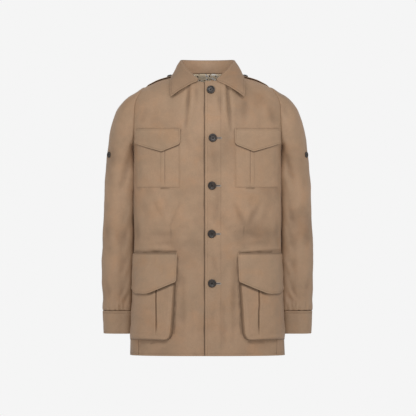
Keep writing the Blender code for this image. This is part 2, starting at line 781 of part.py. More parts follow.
def build_pockets(finish, flap_finish, body):
    flat = np.linspace(0.0, 1.0, CHEST_BAG_COLUMNS)
    heights = np.linspace(CHEST_BAG_BOTTOM, CHEST_BAG_TOP, CHEST_BAG_ROWS)
    bag = bag_grid(lambda h: CHEST_BAG_INNER, lambda h: CHEST_BAG_OUTER, heights, flat)
    normals = ring_normals(bag)
    extra = np.array([SIDE_GAP * fade(share, *SIDE_GAP_FADE) for share in flat])
    lift = CHEST_BAG_GAP + WALL + extra
    place_pair("chest_pocket", bag + normals * lift[None, :, None], normals, WALL, finish)

    edges = (CHEST_INNER, lambda h: CHEST_OUTER)
    flap = flap_grid(CHEST_FLAP_TOP, CHEST_FLAP_EDGE, edges, CHEST_FLAP_COLUMNS, CHEST_FLAP_ROWS)
    normals = ring_normals(flap)
    flat = np.linspace(0.0, 1.0, CHEST_FLAP_COLUMNS)
    extra = np.array([SIDE_GAP * fade(share, *SIDE_GAP_FADE) for share in flat])
    lift = CHEST_BAG_GAP + WALL + SEAM + CHEST_FLAP_LIFT + extra
    place_pair("chest_flap", flap + normals * (lift + WALL)[None, :, None], normals, WALL, flap_finish)

    shares = np.linspace(0.0, 1.0, LOWER_BAG_COLUMNS)
    shares = shares - np.sin(2.0 * math.pi * shares) * LOWER_COLUMN_CROWD
    rise = np.linspace(0.0, 1.0, LOWER_BAG_ROWS)
    rise = rise - np.sin(math.pi * rise) * LOWER_ROW_CROWD
    heights = LOWER_BAG_BOTTOM + (LOWER_BAG_TOP - LOWER_BAG_BOTTOM) * rise
    inner_edge = lambda h: points_value(LOWER_BAG_INNER_EDGE, h)
    outer_edge = lambda h: ring(h)[0] * LOWER_WRAP
    bag = bag_grid(inner_edge, outer_edge, heights, shares)
    normals = ring_normals(bag)
    proud = np.array([[bag_proud(u, v) for u in shares] for v in rise])
    outer = bag + normals * (CHEST_BAG_GAP + WALL + proud)[..., None]
    tray = grid_normals(outer, False, LEVEL_FRONT_WAY)
    inner = outer - tray * WALL
    for place in np.ndindex(bag.shape[:2]):
        stands = np.dot(inner[place] - bag[place], normals[place])
        if stands < CHEST_BAG_GAP:
            inner[place] += normals[place] * (CHEST_BAG_GAP - stands)
    solid("lower_pocket_left", outer, inner, False, finish)
    solid("lower_pocket_right", mirrored(outer), mirrored(inner), False, finish)

    edges = (LOWER_INNER, outer_edge)
    flap = flap_grid(LOWER_FLAP_TOP, LOWER_FLAP_EDGE, edges, LOWER_FLAP_COLUMNS, LOWER_FLAP_ROWS)
    normals = ring_normals(flap)
    rows, columns = flap.shape[:2]
    lifts = np.zeros((rows, columns))
    for i in range(rows):
        for j in range(columns):
            u = j / (columns - 1)
            height = flap[i, j, 2]
            v = (height - LOWER_BAG_BOTTOM) / (LOWER_BAG_TOP - LOWER_BAG_BOTTOM)
            if i < rows - 1:
                lifts[i, j] = flap_proud(u, min(max(v, 0.0), 1.0))
    lifts = lifts + CHEST_BAG_GAP + 2.0 * WALL + SEAM + LOWER_FLAP_LIFT
    lifted = flap + normals * lifts[..., None]
    lifted = kept_clear(lifted, tree_of((outer, False)), WALL + LOWER_FLAP_LIFT)
    place_pair("lower_flap", lifted, grid_normals(lifted, False, LEVEL_FRONT_WAY), WALL, flap_finish)


def bag_proud(u, v):
    """How far the bellows bag stands off the body, across and up."""
    side = fade(u, 0.0, LOWER_SLOPE) * (1.0 - fade(u, *LOWER_SIDE_FADE) * LOWER_SIDE_DROP)
    foot = fade(v, 0.0, LOWER_FOOT_SLOPE)
    top = 1.0 - LOWER_TOP_DROP * fade(v, *LOWER_TOP_FADE)
    return LOWER_PROUD * side * foot * top


def flap_proud(u, v):
    """The flap starts flat on the body and rides out over the bag, past its inner edge too."""
    return bag_proud(max(u, LOWER_FLAP_REACH * LOWER_SLOPE), v)


def flap_grid(top, edge, side_edges, columns, rows):
    """A flap from its straight top to its shaped lower edge, top row last."""
    inner_x, outer_x = side_edges
    shares = np.linspace(0.0, 1.0, columns)
    low_x = np.array([edge[0][0] + (edge[-1][0] - edge[0][0]) * s for s in shares])
    low_z = np.interp(low_x, [p[0] for p in edge], [p[1] for p in edge])
    grid = []
    for i in range(rows + 1):
        share = i / rows
        row = []
        for j in range(columns):
            height = low_z[j] + (top - low_z[j]) * share
            half_width, _, _, power = ring(height)
            limit = min(outer_x(height), half_width * LOWER_WRAP)
            first = math.asin((inner_x / half_width) ** (power / 2.0))
            last = math.asin((limit / half_width) ** (power / 2.0))
            row.append(ring_place(height, first, last, shares[j]))
        grid.append(row)
    return np.array(grid)


def ring_place(height, first, last, share):
    half_width, front, _, power = ring(height)
    dense = []
    for turn in np.linspace(first, last, FLAP_DENSE):
        x = half_width * math.sin(turn) ** (2.0 / power)
        y = -front * math.cos(turn) ** (2.0 / power)
        dense.append((x, y, height))
    return along_row(dense, [share])[0]


def place_pair(name, outer, normals, wall, finish):
    inner = outer - normals * wall
    solid(name + "_left", outer, inner, False, finish)
    solid(name + "_right", mirrored(outer), mirrored(inner), False, finish)


def build_epaulettes(finish, body):
    grid = []
    down = -Vector(UP)
    names = EPAULETTE_COLUMNS[1:]
    for i in range(EPAULETTE_LENGTH_ROWS + 1):
        along = i / EPAULETTE_LENGTH_ROWS
        read = {name: column(EPAULETTE_ROWS, EPAULETTE_COLUMNS, name, along) for name in names}
        row = []
        for j in range(EPAULETTE_WIDTH_COLUMNS + 1):
            across = 2.0 * j / EPAULETTE_WIDTH_COLUMNS - 1.0
            x = read["centre_x"] + across * read["half_width"] * EPAULETTE_SLANT
            y = read["centre_y"] + across * read["half_width"]
            found = body.ray_cast(Vector((x, y, FAR_UP)), down)[0]
            if found is None:
                found = body.find_nearest(Vector((x, y, crest_height(x))))[0]
            height = found.z
            curl = EPAULETTE_CURL * across * across * math.sin(math.pi * along)
            row.append((x, y, height + EPAULETTE_LIFT + WALL + curl))
        grid.append(row)
    grid = np.array(grid)
    grid = kept_clear(grid, body, WALL + EPAULETTE_LIFT)
    normals = grid_normals(grid, False, UP)
    place_pair("epaulette", grid, normals, WALL, finish)
    return grid


def turned_button(name, centre, axis, radius, finish):
    """A button turned about its axis and seated on the cloth."""
    mesh = bpy.data.meshes.new(name)
    work = bmesh.new()
    spin = Vector(axis).normalized()
    frame = Vector(UP).rotation_difference(spin).to_matrix()
    loops = []
    for out, up in BUTTON_PROFILE:
        if out == 0.0:
            loops.append([work.verts.new(frame @ Vector((0.0, 0.0, up * radius)))])
            continue
        ring_points = []
        for k in range(BUTTON_SEGMENTS):
            turn = 2.0 * math.pi * k / BUTTON_SEGMENTS
            local = Vector((out * math.cos(turn), out * math.sin(turn), up))
            ring_points.append(work.verts.new(frame @ (local * radius)))
        loops.append(ring_points)
    for low, high in zip(loops[:-1], loops[1:]):
        for k in range(BUTTON_SEGMENTS):
            m = (k + 1) % BUTTON_SEGMENTS
            if len(low) == 1:
                work.faces.new((low[0], high[k], high[m]))
            elif len(high) == 1:
                work.faces.new((low[k], high[0], low[m]))
            else:
                work.faces.new((low[k], high[k], high[m], low[m]))
    for vert in work.verts:
        vert.co = (vert.co + Vector(centre)) * MM
    bmesh.ops.recalc_face_normals(work, faces=work.faces)
    work.to_mesh(mesh)
    work.free()
    for face in mesh.polygons:
        face.use_smooth = True
    mesh.materials.append(finish)
    made = bpy.data.objects.new(name, mesh)
    bpy.context.collection.objects.link(made)


def build_buttons(finish, front, epaulette, sleeve):
    toward = Vector((0.0, 1.0, 0.0))
    for index, (x, z) in enumerate(FRONT_BUTTONS):
        found, normal, _, _ = front.ray_cast(Vector((x, -FAR_OUT, z)), toward)
        if normal.y > 0.0:
            normal = -normal
        seat = found + normal * BUTTON_GAP
        turned_button(f"button_front_{index + 1}", seat, normal, BUTTON_RADIUS, finish)
    cloth = tree_of((epaulette, False))
    above = Vector((EPAULETTE_BUTTON[0], EPAULETTE_BUTTON[1], FAR_UP))
    found, normal, _, _ = cloth.ray_cast(above, -Vector(UP))
    if normal.z < 0.0:
        normal = -normal
    for side, sign in (("left", 1.0), ("right", -1.0)):
        flip = Vector((sign, 1.0, 1.0))
        seat = (found + normal * (BUTTON_GAP + EPAULETTE_BUTTON_SPARE)) * flip
        turned_button(f"button_epaulette_{side}", seat, normal * flip, BUTTON_SMALL_RADIUS, finish)
    cloth = tree_of((sleeve, True))
    beside = Vector((FAR_OUT, SLEEVE_BUTTON[0], SLEEVE_BUTTON[1]))
    found, normal, _, _ = cloth.ray_cast(beside, Vector((-1.0, 0.0, 0.0)))
    if normal.x < 0.0:
        normal = -normal
    for side, sign in (("left", 1.0), ("right", -1.0)):
        flip = Vector((sign, 1.0, 1.0))
        seat = (found + normal * (BUTTON_GAP + SLEEVE_BUTTON_SPARE)) * flip
        turned_button(f"button_sleeve_{side}", seat, normal * flip, BUTTON_SLEEVE_RADIUS, finish)


build()
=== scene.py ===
"""The waxed safari jacket, dressed: cloth shells, seams, stitches, folds, buttons, light and camera."""

import math
import bmesh
import bpy
import numpy as np
from mathutils import Matrix, Vector
from mathutils.bvhtree import BVHTree


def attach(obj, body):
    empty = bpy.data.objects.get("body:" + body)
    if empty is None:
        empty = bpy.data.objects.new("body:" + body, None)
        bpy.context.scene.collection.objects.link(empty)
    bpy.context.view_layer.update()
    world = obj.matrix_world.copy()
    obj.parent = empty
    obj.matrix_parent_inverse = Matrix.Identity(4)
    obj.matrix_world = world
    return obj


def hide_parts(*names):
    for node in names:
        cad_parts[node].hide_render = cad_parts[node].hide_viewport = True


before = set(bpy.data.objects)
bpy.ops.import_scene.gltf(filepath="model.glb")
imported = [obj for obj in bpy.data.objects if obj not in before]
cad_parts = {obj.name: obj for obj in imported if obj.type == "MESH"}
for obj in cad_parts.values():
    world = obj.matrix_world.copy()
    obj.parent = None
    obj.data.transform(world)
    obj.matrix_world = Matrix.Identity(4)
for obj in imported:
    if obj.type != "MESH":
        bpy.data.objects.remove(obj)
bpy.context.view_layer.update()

MM = 0.001
SEAM = 0.3
RIGHT_ANGLE = math.pi / 2
UNDERARM = -182.0
SHOULDER_TIP = (176.0, -14.0)
NECK_SIDE = (80.0, 22.0)
NECK_FRONT = 1.0
NECK_BACK = 27.0

# ---------------------------------------------------------------- the body's sizes, as in the CAD

RING_COLUMNS = ("height", "half_width", "front_depth", "back_depth", "power")
RING_ROWS = (
    (-765.2, 218.0, 124.0, 127.0, 2.60),
    (-705.0, 216.0, 123.0, 126.0, 2.60),
    (-610.0, 211.0, 120.0, 123.0, 2.60),
    (-530.0, 208.5, 118.0, 119.0, 2.60),
    (-456.0, 207.0, 116.0, 115.0, 2.60),
    (-400.0, 207.5, 115.0, 114.0, 2.60),
    (-330.0, 208.5, 117.0, 116.0, 2.60),
    (-260.0, 207.5, 119.0, 119.0, 2.55),
    (-215.0, 207.5, 119.5, 121.0, 2.50),
    (-182.0, 209.0, 119.0, 121.5, 2.50),
    (-140.0, 218.0, 117.0, 121.0, 2.50),
    (-95.0, 219.0, 112.0, 118.0, 2.50),
    (-66.0, 216.0, 106.0, 114.0, 2.40),
    (-48.0, 211.0, 101.0, 110.0, 2.30),
    (-28.0, 199.0, 93.0, 104.0, 2.15),
    (-14.0, 176.0, 86.5, 99.0, 2.05),
    (-5.6, 159.0, 82.0, 95.0, 2.00),
    (5.6, 134.0, 71.0, 88.0, 2.00),
    (15.0, 103.0, 56.0, 80.0, 2.00),
    (22.0, 80.0, 46.0, 74.0, 2.00),
    (27.0, 76.0, 44.0, 72.0, 2.00),
    (34.0, 74.0, 44.0, 71.0, 2.00),
)
ARMHOLE_ROWS = (
    (-182.0, 209.0), (-165.0, 207.8), (-140.0, 206.5), (-95.0, 205.0),
    (-66.0, 203.5), (-48.0, 199.0), (-28.0, 188.0), (-14.0, 176.0),
)
SIDE_ROWS = (
    (-765.2, 0.885), (-700.0, 0.900), (-600.0, 0.935), (-450.0, 0.985), (-300.0, 0.998), (-182.0, 1.000)
)
SLEEVE_COLUMNS = ("in_x", "in_z", "out_x", "out_z", "centre_y", "half_depth", "power", "like_armhole")
SLEEVE_ROWS = (
    (211.0, -184.5, 202.0, -27.6, 2.0, 57.0, 2.05, 0.85),
    (211.8, -189.0, 224.0, -40.5, 8.0, 60.5, 2.08, 0.60),
    (210.8, -198.0, 246.0, -64.5, 16.0, 64.0, 2.10, 0.35),
    (208.8, -211.0, 263.0, -100.0, 26.0, 67.0, 2.10, 0.15),
    (207.2, -228.0, 275.5, -146.0, 35.0, 68.0, 2.10, 0.0),
    (206.2, -254.0, 284.0, -204.0, 41.5, 67.3, 2.10, 0.0),
    (205.8, -292.0, 289.4, -273.0, 45.5, 65.5, 2.10, 0.0),
    (205.8, -362.0, 293.0, -358.0, 48.4, 62.0, 2.10, 0.0),
    (205.4, -446.0, 297.1, -446.0, 51.3, 58.4, 2.10, 0.0),
    (205.8, -532.0, 298.2, -532.0, 54.2, 54.8, 2.10, 0.0),
    (208.0, -610.0, 295.8, -610.0, 57.0, 51.0, 2.10, 0.0),
    (209.8, -642.0, 294.0, -642.0, 58.0, 48.5, 2.10, 0.0),
)
CUFF_ROWS = (
    (209.2, -642.4, 295.0, -642.4, 58.0, 49.6, 2.20, 0.0),
    (210.6, -664.0, 294.2, -664.0, 58.6, 48.8, 2.20, 0.0),
    (211.8, -686.0, 293.2, -686.0, 59.2, 48.0, 2.20, 0.0),
    (212.6, -706.7, 292.2, -706.7, 59.8, 47.4, 2.20, 0.0),
)
COLLAR_COLUMNS = ("step", "turn", "roll_z", "edge_x", "edge_y", "edge_z", "bulge")
COLLAR_ROWS = (
    (0.00, 20.0, 8.5, 102.0, -94.0, -43.0, 2.5),
    (0.10, 28.0, 16.0, 103.6, -88.0, -29.0, 3.0),
    (0.20, 38.0, 26.0, 104.4, -77.0, -13.0, 3.2),
    (0.30, 49.0, 36.0, 104.4, -61.0, 2.0, 3.2),
    (0.40, 61.0, 45.5, 102.6, -40.0, 13.5, 3.0),
    (0.50, 76.0, 55.0, 98.8, -16.0, 20.5, 2.6),
    (0.60, 92.0, 60.0, 95.6, 10.0, 23.0, 2.6),
    (0.70, 110.0, 61.8, 89.0, 36.0, 23.0, 3.0),
    (0.80, 130.0, 62.0, 73.0, 61.0, 21.0, 3.4),
    (0.90, 154.0, 62.0, 43.0, 82.0, 18.0, 3.8),
    (1.00, 180.0, 62.0, 0.0, 92.0, 15.0, 4.0),
)
EPAULETTE_COLUMNS = ("along", "centre_x", "centre_y", "half_width")
EPAULETTE_ROWS = (
    (0.00, 90.5, -11.0, 3.0),
    (0.12, 100.0, -8.5, 18.0),
    (0.30, 116.0, -3.0, 21.0),
    (0.60, 143.0, 7.0, 22.5),
    (1.00, 174.0, 17.0, 23.5),
)
FRONT_BUTTONS = ((9.4, -23.5), (14.6, -157.4), (12.6, -290.4), (11.8, -424.8), (12.6, -562.8))


# ---------------------------------------------------------------- number helpers


class Curve:
    """A smooth curve through a table's points, flat where they turn."""

    def __init__(self, along, values):
        self.along = np.asarray(along, float)
        self.values = np.asarray(values, float)
        self.steps = np.diff(self.along)
        slopes = np.diff(self.values) / self.steps
        tangents = np.zeros(len(self.along))
        tangents[0], tangents[-1] = slopes[0], slopes[-1]
        for k in range(1, len(slopes)):
            product = slopes[k - 1] * slopes[k]
            tangents[k] = 0.0 if product <= 0 else 2.0 * product / (slopes[k - 1] + slopes[k])
        self.tangents = tangents

    def __call__(self, at):
        at = np.clip(np.asarray(at, float), self.along[0], self.along[-1])
        i = np.clip(np.searchsorted(self.along, at, side="right") - 1, 0, len(self.along) - 2)
        w = self.steps[i]
        s = (at - self.along[i]) / w
        first = (1 + 2 * s) * (1 - s) ** 2 * self.values[i] + s * (1 - s) ** 2 * w * self.tangents[i]
        return first + s * s * (3 - 2 * s) * self.values[i + 1] + s * s * (s - 1) * w * self.tangents[i + 1]


def curves(rows, columns):
    table = np.array(rows, float)
    return {name: Curve(table[:, 0], table[:, k]) for k, name in enumerate(columns)}


RING = curves(RING_ROWS, RING_COLUMNS)
ARMHOLE = Curve([r[0] for r in ARMHOLE_ROWS], [r[1] for r in ARMHOLE_ROWS])
SIDE = Curve([r[0] for r in SIDE_ROWS], [r[1] for r in SIDE_ROWS])
COLLAR = curves(COLLAR_ROWS, COLLAR_COLUMNS)
EPAULETTE = curves(EPAULETTE_ROWS, EPAULETTE_COLUMNS)
CREST_Z = np.linspace(SHOULDER_TIP[1], NECK_SIDE[1], 400)
CREST_X = RING["half_width"](CREST_Z)


def fade(value, start, end):
    share = np.clip((np.asarray(value, float) - start) / (end - start), 0.0, 1.0)
    return share * share * (3.0 - 2.0 * share)


def bell(value, width):
    return np.exp(-((value / width) ** 2))


def skin(x, z, side):
    half, power = RING["half_width"](z), RING["power"](z)
    depth = np.where(side < 0, RING["front_depth"](z), RING["back_depth"](z))
    share = np.minimum(np.abs(x) / half, 1.0)
    y = side * depth * np.maximum(1.0 - share**power, 0.0) ** (1.0 / power)
    return np.stack([x, y, z + 0 * x], axis=-1)


def crest_height(x):
    x = np.asarray(x, float)
    near = NECK_BACK + (NECK_SIDE[1] - NECK_BACK) * (np.maximum(x, 0) / NECK_SIDE[0]) ** 2
    far = np.interp(x, CREST_X[::-1], CREST_Z[::-1])
    return np.where(x <= NECK_SIDE[0], near, far)


def lengths(points):
    return np.concatenate(([0.0], np.cumsum(np.linalg.norm(np.diff(points, axis=0), axis=1))))


def along_row(points, shares):
    length = lengths(points)
    wanted = np.asarray(shares) * length[-1]
    return np.stack([np.interp(wanted, length, points[:, k]) for k in range(3)], axis=1)


def ring_turns(z, start, end, count=260):
    """Points on the front or back ring between two turns."""
    half, power = float(RING["half_width"](z)), float(RING["power"](z))
    front, back = float(RING["front_depth"](z)), float(RING["back_depth"](z))
    turn = np.linspace(start, end, count)
    sine, cosine = np.sin(turn), np.cos(turn)
    x = half * np.sign(sine) * np.abs(sine) ** (2 / power)
    depth = np.where(cosine > 0, front, back)
    y = -depth * np.sign(cosine) * np.abs(cosine) ** (2 / power)
    return np.stack([x, y, np.full(count, z)], axis=1)


def turn_at(x, z):
    half, power = float(RING["half_width"](z)), float(RING["power"](z))
    return math.copysign(math.asin(min(abs(x) / half, 1.0) ** (power / 2)), x)


def low_row(z, start_x, side, shares):
    share, power = float(SIDE(z)), float(RING["power"](z))
    end = math.asin(min(share ** (power / 2), 1.0))
    start = math.pi if side > 0 else turn_at(start_x, z)
    return along_row(ring_turns(z, start, end), shares)


def armhole_at(step):
    middle, reach = (UNDERARM + SHOULDER_TIP[1]) / 2, (SHOULDER_TIP[1] - UNDERARM) / 2
    height = middle - reach * np.cos(np.pi * np.asarray(step, float))
    return ARMHOLE(height), height


def front_inner(step, start_x):
    corner = 7.0 / 12.0
    if step <= corner:
        return start_x, UNDERARM + (NECK_FRONT - UNDERARM) * (1.0 - (1.0 - step / corner) ** 1.4)
    share = (step - corner) / (1 - corner)
    start = math.asin(start_x / NECK_SIDE[0])
    turn = start + (RIGHT_ANGLE - start) * share
    return NECK_SIDE[0] * math.sin(turn), NECK_FRONT + (NECK_SIDE[1] - NECK_FRONT) * (1.0 - math.cos(turn))


def high_row(step, inner, side, shares):
    in_x, in_z = inner
    out_x, out_z = (float(v) for v in armhole_at(step))
    tip = SHOULDER_TIP[0]
    top = lambda x: crest_height(np.minimum(np.abs(x), tip)) - np.maximum(x - tip, 0.0) * 0.5
    in_drop = math.sqrt(max(float(top(in_x)) - in_z, 0.0))
    out_drop = math.sqrt(max(float(top(out_x)) - out_z, 0.0))
    share = np.linspace(0.0, 1.0, 260)
    x = in_x + (out_x - in_x) * share
    z = top(x) - (in_drop + (out_drop - in_drop) * share) ** 2
    level = fade(step, 0.0, 0.10)
    z = (in_z + (out_z - in_z) * share) * (1 - level) + z * level
    return along_row(skin(x, z, side), shares)


def unit(vectors):
    return vectors / np.maximum(np.linalg.norm(vectors, axis=-1, keepdims=True), 1e-9)


def normals_of(grid, loops, toward):
    """Normals of a grid of rows by columns, on the side that toward(points) points to."""
    if loops:
        across = np.roll(grid, -1, axis=1) - np.roll(grid, 1, axis=1)
    else:
        across = np.gradient(grid, axis=1)
    normals = unit(np.cross(across, np.gradient(grid, axis=0)))
    sign = np.sign(np.sum(normals * toward))
    return normals * (sign if sign else 1.0)


def edge_distances(grid):
    """Distances in millimetres from the first and last column and the first and last row."""
    across = np.linalg.norm(np.diff(grid, axis=1), axis=2)
    left = np.concatenate((np.zeros((grid.shape[0], 1)), np.cumsum(across, axis=1)), axis=1)
    up = np.linalg.norm(np.diff(grid, axis=0), axis=2)
    foot = np.concatenate((np.zeros((1, grid.shape[1])), np.cumsum(up, axis=0)), axis=0)
    return left, left[:, -1:] - left, foot, foot[-1:, :] - foot


def crease(a, b, row):
    """One soft fold between two places: a trough with a ridge along one side, fading at its ends."""
    a0, b0, a1, b1, bend, depth, width = row
    along = np.array((a1 - a0, b1 - b0))
    length = np.hypot(*along)
    along = along / length
    s = ((a - a0) * along[0] + (b - b0) * along[1]) / length
    off = -(a - a0) * along[1] + (b - b0) * along[0] - bend * 4 * s * (1 - s)
    s = np.clip(s, 0, 1)
    ends = np.sin(np.pi * s) ** 0.9 * (0.8 + 0.2 * np.sin(7.0 * s + a0))
    reach = width * (0.75 + 0.5 * np.sin(np.pi * s))
    trough = -bell(off, reach)
    ridge = 0.55 * bell(off - 1.7 * reach, 1.25 * reach) + 0.35 * bell(off + 1.8 * reach, 1.3 * reach)
    return depth * ends * (trough + ridge)


def creases(a, b, rows):
    total = np.zeros(np.shape(a))
    for row in rows:
        total += crease(a, b, row)
    return total


# ---------------------------------------------------------------- meshes


def spaced(length, step, places=(), fine=0.5, reach=3.0):
    """Shares from 0 to 1 along a length, a step apart and finer near the given places."""
    x = np.linspace(0, length, 3000)
    size = np.full(x.shape, float(step))
    for place in places:
        size = np.minimum(size, fine + (step - fine) * fade(np.abs(x - place), 0.5 * reach, 4.0 * reach))
    count = np.concatenate(([0.0], np.cumsum(0.5 * (1 / size[1:] + 1 / size[:-1]) * np.diff(x))))
    number = max(int(round(count[-1])), 4)
    return np.interp(np.linspace(0, count[-1], number + 1), count, x) / length


def flat_mesh(name, points, quads, finish, uv=None, painted_light_and_wear=None):
    """A mesh object from points in millimetres and quads."""
    mesh = bpy.data.meshes.new(name)
    points = np.asarray(points, float)
    quads = np.asarray(quads, np.int32)
    mesh.vertices.add(len(points))
    mesh.vertices.foreach_set("co", (points * MM).astype(np.float32).ravel())
    mesh.loops.add(quads.size)
    mesh.loops.foreach_set("vertex_index", quads.ravel())
    mesh.polygons.add(len(quads))
    mesh.polygons.foreach_set("loop_start", np.arange(len(quads), dtype=np.int32) * 4)
    mesh.polygons.foreach_set("loop_total", np.full(len(quads), 4, dtype=np.int32))
    mesh.polygons.foreach_set("use_smooth", np.ones(len(quads), dtype=bool))
    if uv is not None:
        layer = mesh.uv_layers.new(name="cloth")
        layer.data.foreach_set("uv", uv[quads.ravel()].astype(np.float32).ravel())
    if painted_light_and_wear is not None:
        mesh.attributes.new("painted_light_and_wear", "FLOAT", "POINT").data.foreach_set("value", painted_light_and_wear.astype(np.float32))
    mesh.update(calc_edges=True)
    mesh.validate()
    mesh.materials.append(finish)
    made = bpy.data.objects.new(name, mesh)
    bpy.context.collection.objects.link(made)
    return made


def grid_quads(rows, columns, loops, base=0, flip=False):
    i, j = np.meshgrid(np.arange(rows - 1), np.arange(columns if loops else columns - 1), indexing="ij")
    k = (j + 1) % columns
    quads = np.stack(
        [i * columns + j, i * columns + k, (i + 1) * columns + k, (i + 1) * columns + j], axis=-1
    )
    quads = quads.reshape(-1, 4) + base
    return quads[:, ::-1] if flip else quads


def shell(name, outer, normals, wall, loops, finish, painted_light_and_wear=None, round_edge=0.32):
    """A closed wall of cloth below an outer grid, its edges rounded."""
    rows, columns = outer.shape[:2]
    across = np.roll(outer, -1, axis=1) - outer if loops else np.gradient(outer, axis=1)
    facing = np.cross(across, np.gradient(outer, axis=0))
    flip = np.median(np.sum(facing * normals, axis=-1)) < 0
    top = outer.copy()
    low = outer - normals * wall
    soft = round_edge * wall
    edges = [(0, slice(None)), (-1, slice(None))]
    if not loops:
        edges += [(slice(None), 0), (slice(None), -1)]
    pinch = np.zeros((rows, columns))
    for edge in edges:
        pinch[edge] = soft
    top = top - normals * pinch[..., None]
    low = low + normals * pinch[..., None]
    size = rows * columns
    points = np.concatenate((top.reshape(-1, 3), low.reshape(-1, 3)))
    quads = [grid_quads(rows, columns, loops, 0, flip), grid_quads(rows, columns, loops, size, not flip)]

    def rim(line, turned):
        line = np.asarray(line)
        nexts = np.roll(line, -1) if loops else line[1:]
        here = line if loops else line[:-1]
        side = np.stack([here, here + size, nexts + size, nexts], axis=1)
        quads.append(side[:, ::-1] if turned else side)

    rim(np.arange(columns), flip)
    rim((rows - 1) * columns + np.arange(columns), not flip)
    if not loops:
        rim(np.arange(rows) * columns, not flip)
        rim(np.arange(rows) * columns + columns - 1, flip)
    left, _, foot, _ = edge_distances(outer)
    uv = np.stack([left, foot], axis=-1).reshape(-1, 2) * MM
    uv = np.concatenate((uv, uv))
    if painted_light_and_wear is None:
        painted_light_and_wear = np.zeros((rows, columns))
    painted_light_and_wear = np.concatenate((painted_light_and_wear.ravel(), np.zeros(size)))
    return flat_mesh(name, points, np.concatenate(quads), finish, uv, painted_light_and_wear)


def mirror_x(values):
    return values * np.array((-1.0, 1.0, 1.0))


def sample(grid, row, column):
    """Values of a grid between its rows and columns."""
    row = np.clip(row, 0, grid.shape[0] - 1.001)
    column = np.clip(column, 0, grid.shape[1] - 1.001)
    i, j = row.astype(int), column.astype(int)
    s, t = row - i, column - j
    if grid.ndim == 3:
        s, t = s[:, None], t[:, None]
    low = grid[i, j] * (1 - t) + grid[i, j + 1] * t
    high = grid[i + 1, j] * (1 - t) + grid[i + 1, j + 1] * t
    return low * (1 - s) + high * s


def line_at(field, value, rows_way):
    """Where a field that grows one way over a grid reaches a value, as rows and columns."""
    rows, columns = field.shape
    if rows_way:
        found = np.array([np.interp(value, field[:, j], np.arange(rows), -1, -1) for j in range(columns)])
        keep = found >= 0
        return found[keep], np.arange(columns)[keep].astype(float)
    found = np.array([np.interp(value, field[i], np.arange(columns), -1, -1) for i in range(rows)])
    keep = found >= 0
    return np.arange(rows)[keep].astype(float), found[keep]


STITCH_PITCH = 3.0
STITCH_LENGTH = 2.25
STITCH_RADIUS = 0.26


def stitches(name, surfaces_lines, finish, pitch=STITCH_PITCH, radius=STITCH_RADIUS, mirror=False):
    """Rows of short thread along lines, each line given as places and outward directions."""
    points, quads = [], []
    turns = np.arange(4) * RIGHT_ANGLE + RIGHT_ANGLE / 2
    for places, outward in surfaces_lines:
        length = lengths(places)
        count = int(length[-1] // pitch)
        if count < 2:
            continue
        starts = (np.arange(count) + 0.5) * length[-1] / count
        for start in starts:
            at = np.array((start - STITCH_LENGTH / 2, start, start + STITCH_LENGTH / 2))
            line = np.stack([np.interp(at, length, places[:, k]) for k in range(3)], axis=1)
            out = unit(np.stack([np.interp(at, length, outward[:, k]) for k in range(3)], axis=1))
            along = unit(line[2] - line[0])
            rings = []
            for place, up, size, lift in zip(line, out, (0.45, 1.0, 0.45), (-0.18, 0.10, -0.18)):
                side = np.cross(along, up)
                centre = place + up * lift
                rings.append(
                    [centre + (up * math.sin(t) + side * math.cos(t)) * radius * size for t in turns]
                )
            base = len(points) * 4
            points.extend(rings)
            for k in range(2):
                for m in range(4):
                    a, b = base + k * 4 + m, base + k * 4 + (m + 1) % 4
                    quads.append((a, b, b + 4, a + 4))
            quads.append((base + 3, base + 2, base + 1, base))
            quads.append((base + 8, base + 9, base + 10, base + 11))
    points = np.array(points).reshape(-1, 3)
    quads = np.array(quads)
    if mirror:
        points = mirror_x(points)
        quads = quads[:, ::-1]
    return flat_mesh(name, points, quads, finish)


def sewn(surface, normals, field, value, rows_way, start=0.0, end=1.0):
    """A sewn line on a surface where a field reaches a value, between two shares of its length."""
    row, column = line_at(field, value, rows_way)
    places, outward = sample(surface, row, column), unit(sample(normals, row, column))
    share = np.linspace(0, 1, len(places))
    keep = (share >= start) & (share <= end)
    return places[keep], outward[keep]


# ---------------------------------------------------------------- relief of the worn cloth


def seen(column, row):
    """Millimetres across and up for a place of the 416 by 416 frame."""
    return (column - 207.5) * 2.8, (82.0 - row) * 2.8


def fold_rows(rows, mirrored_too=False, vary=0.0):
    """Fold tables in millimetres; the copy on the other side differs a little in length, depth and width."""
    made = []
    for k, (c0, r0, c1, r1, bend, depth, width) in enumerate(rows):
        made.append((*seen(c0, r0), *seen(c1, r1), bend, depth, width))
        if mirrored_too:
            wave = math.sin(2.3 * k + 0.7) * vary
            shift = 5.0 * wave
            first, last = seen(415.0 - c1 + shift, r1 + 9 * wave), seen(415.0 - c0 + shift, r0 - 7 * wave)
            made.append((*first, *last, bend, depth * (1 + 0.5 * wave), width * (1 - 0.4 * wave)))
    return made


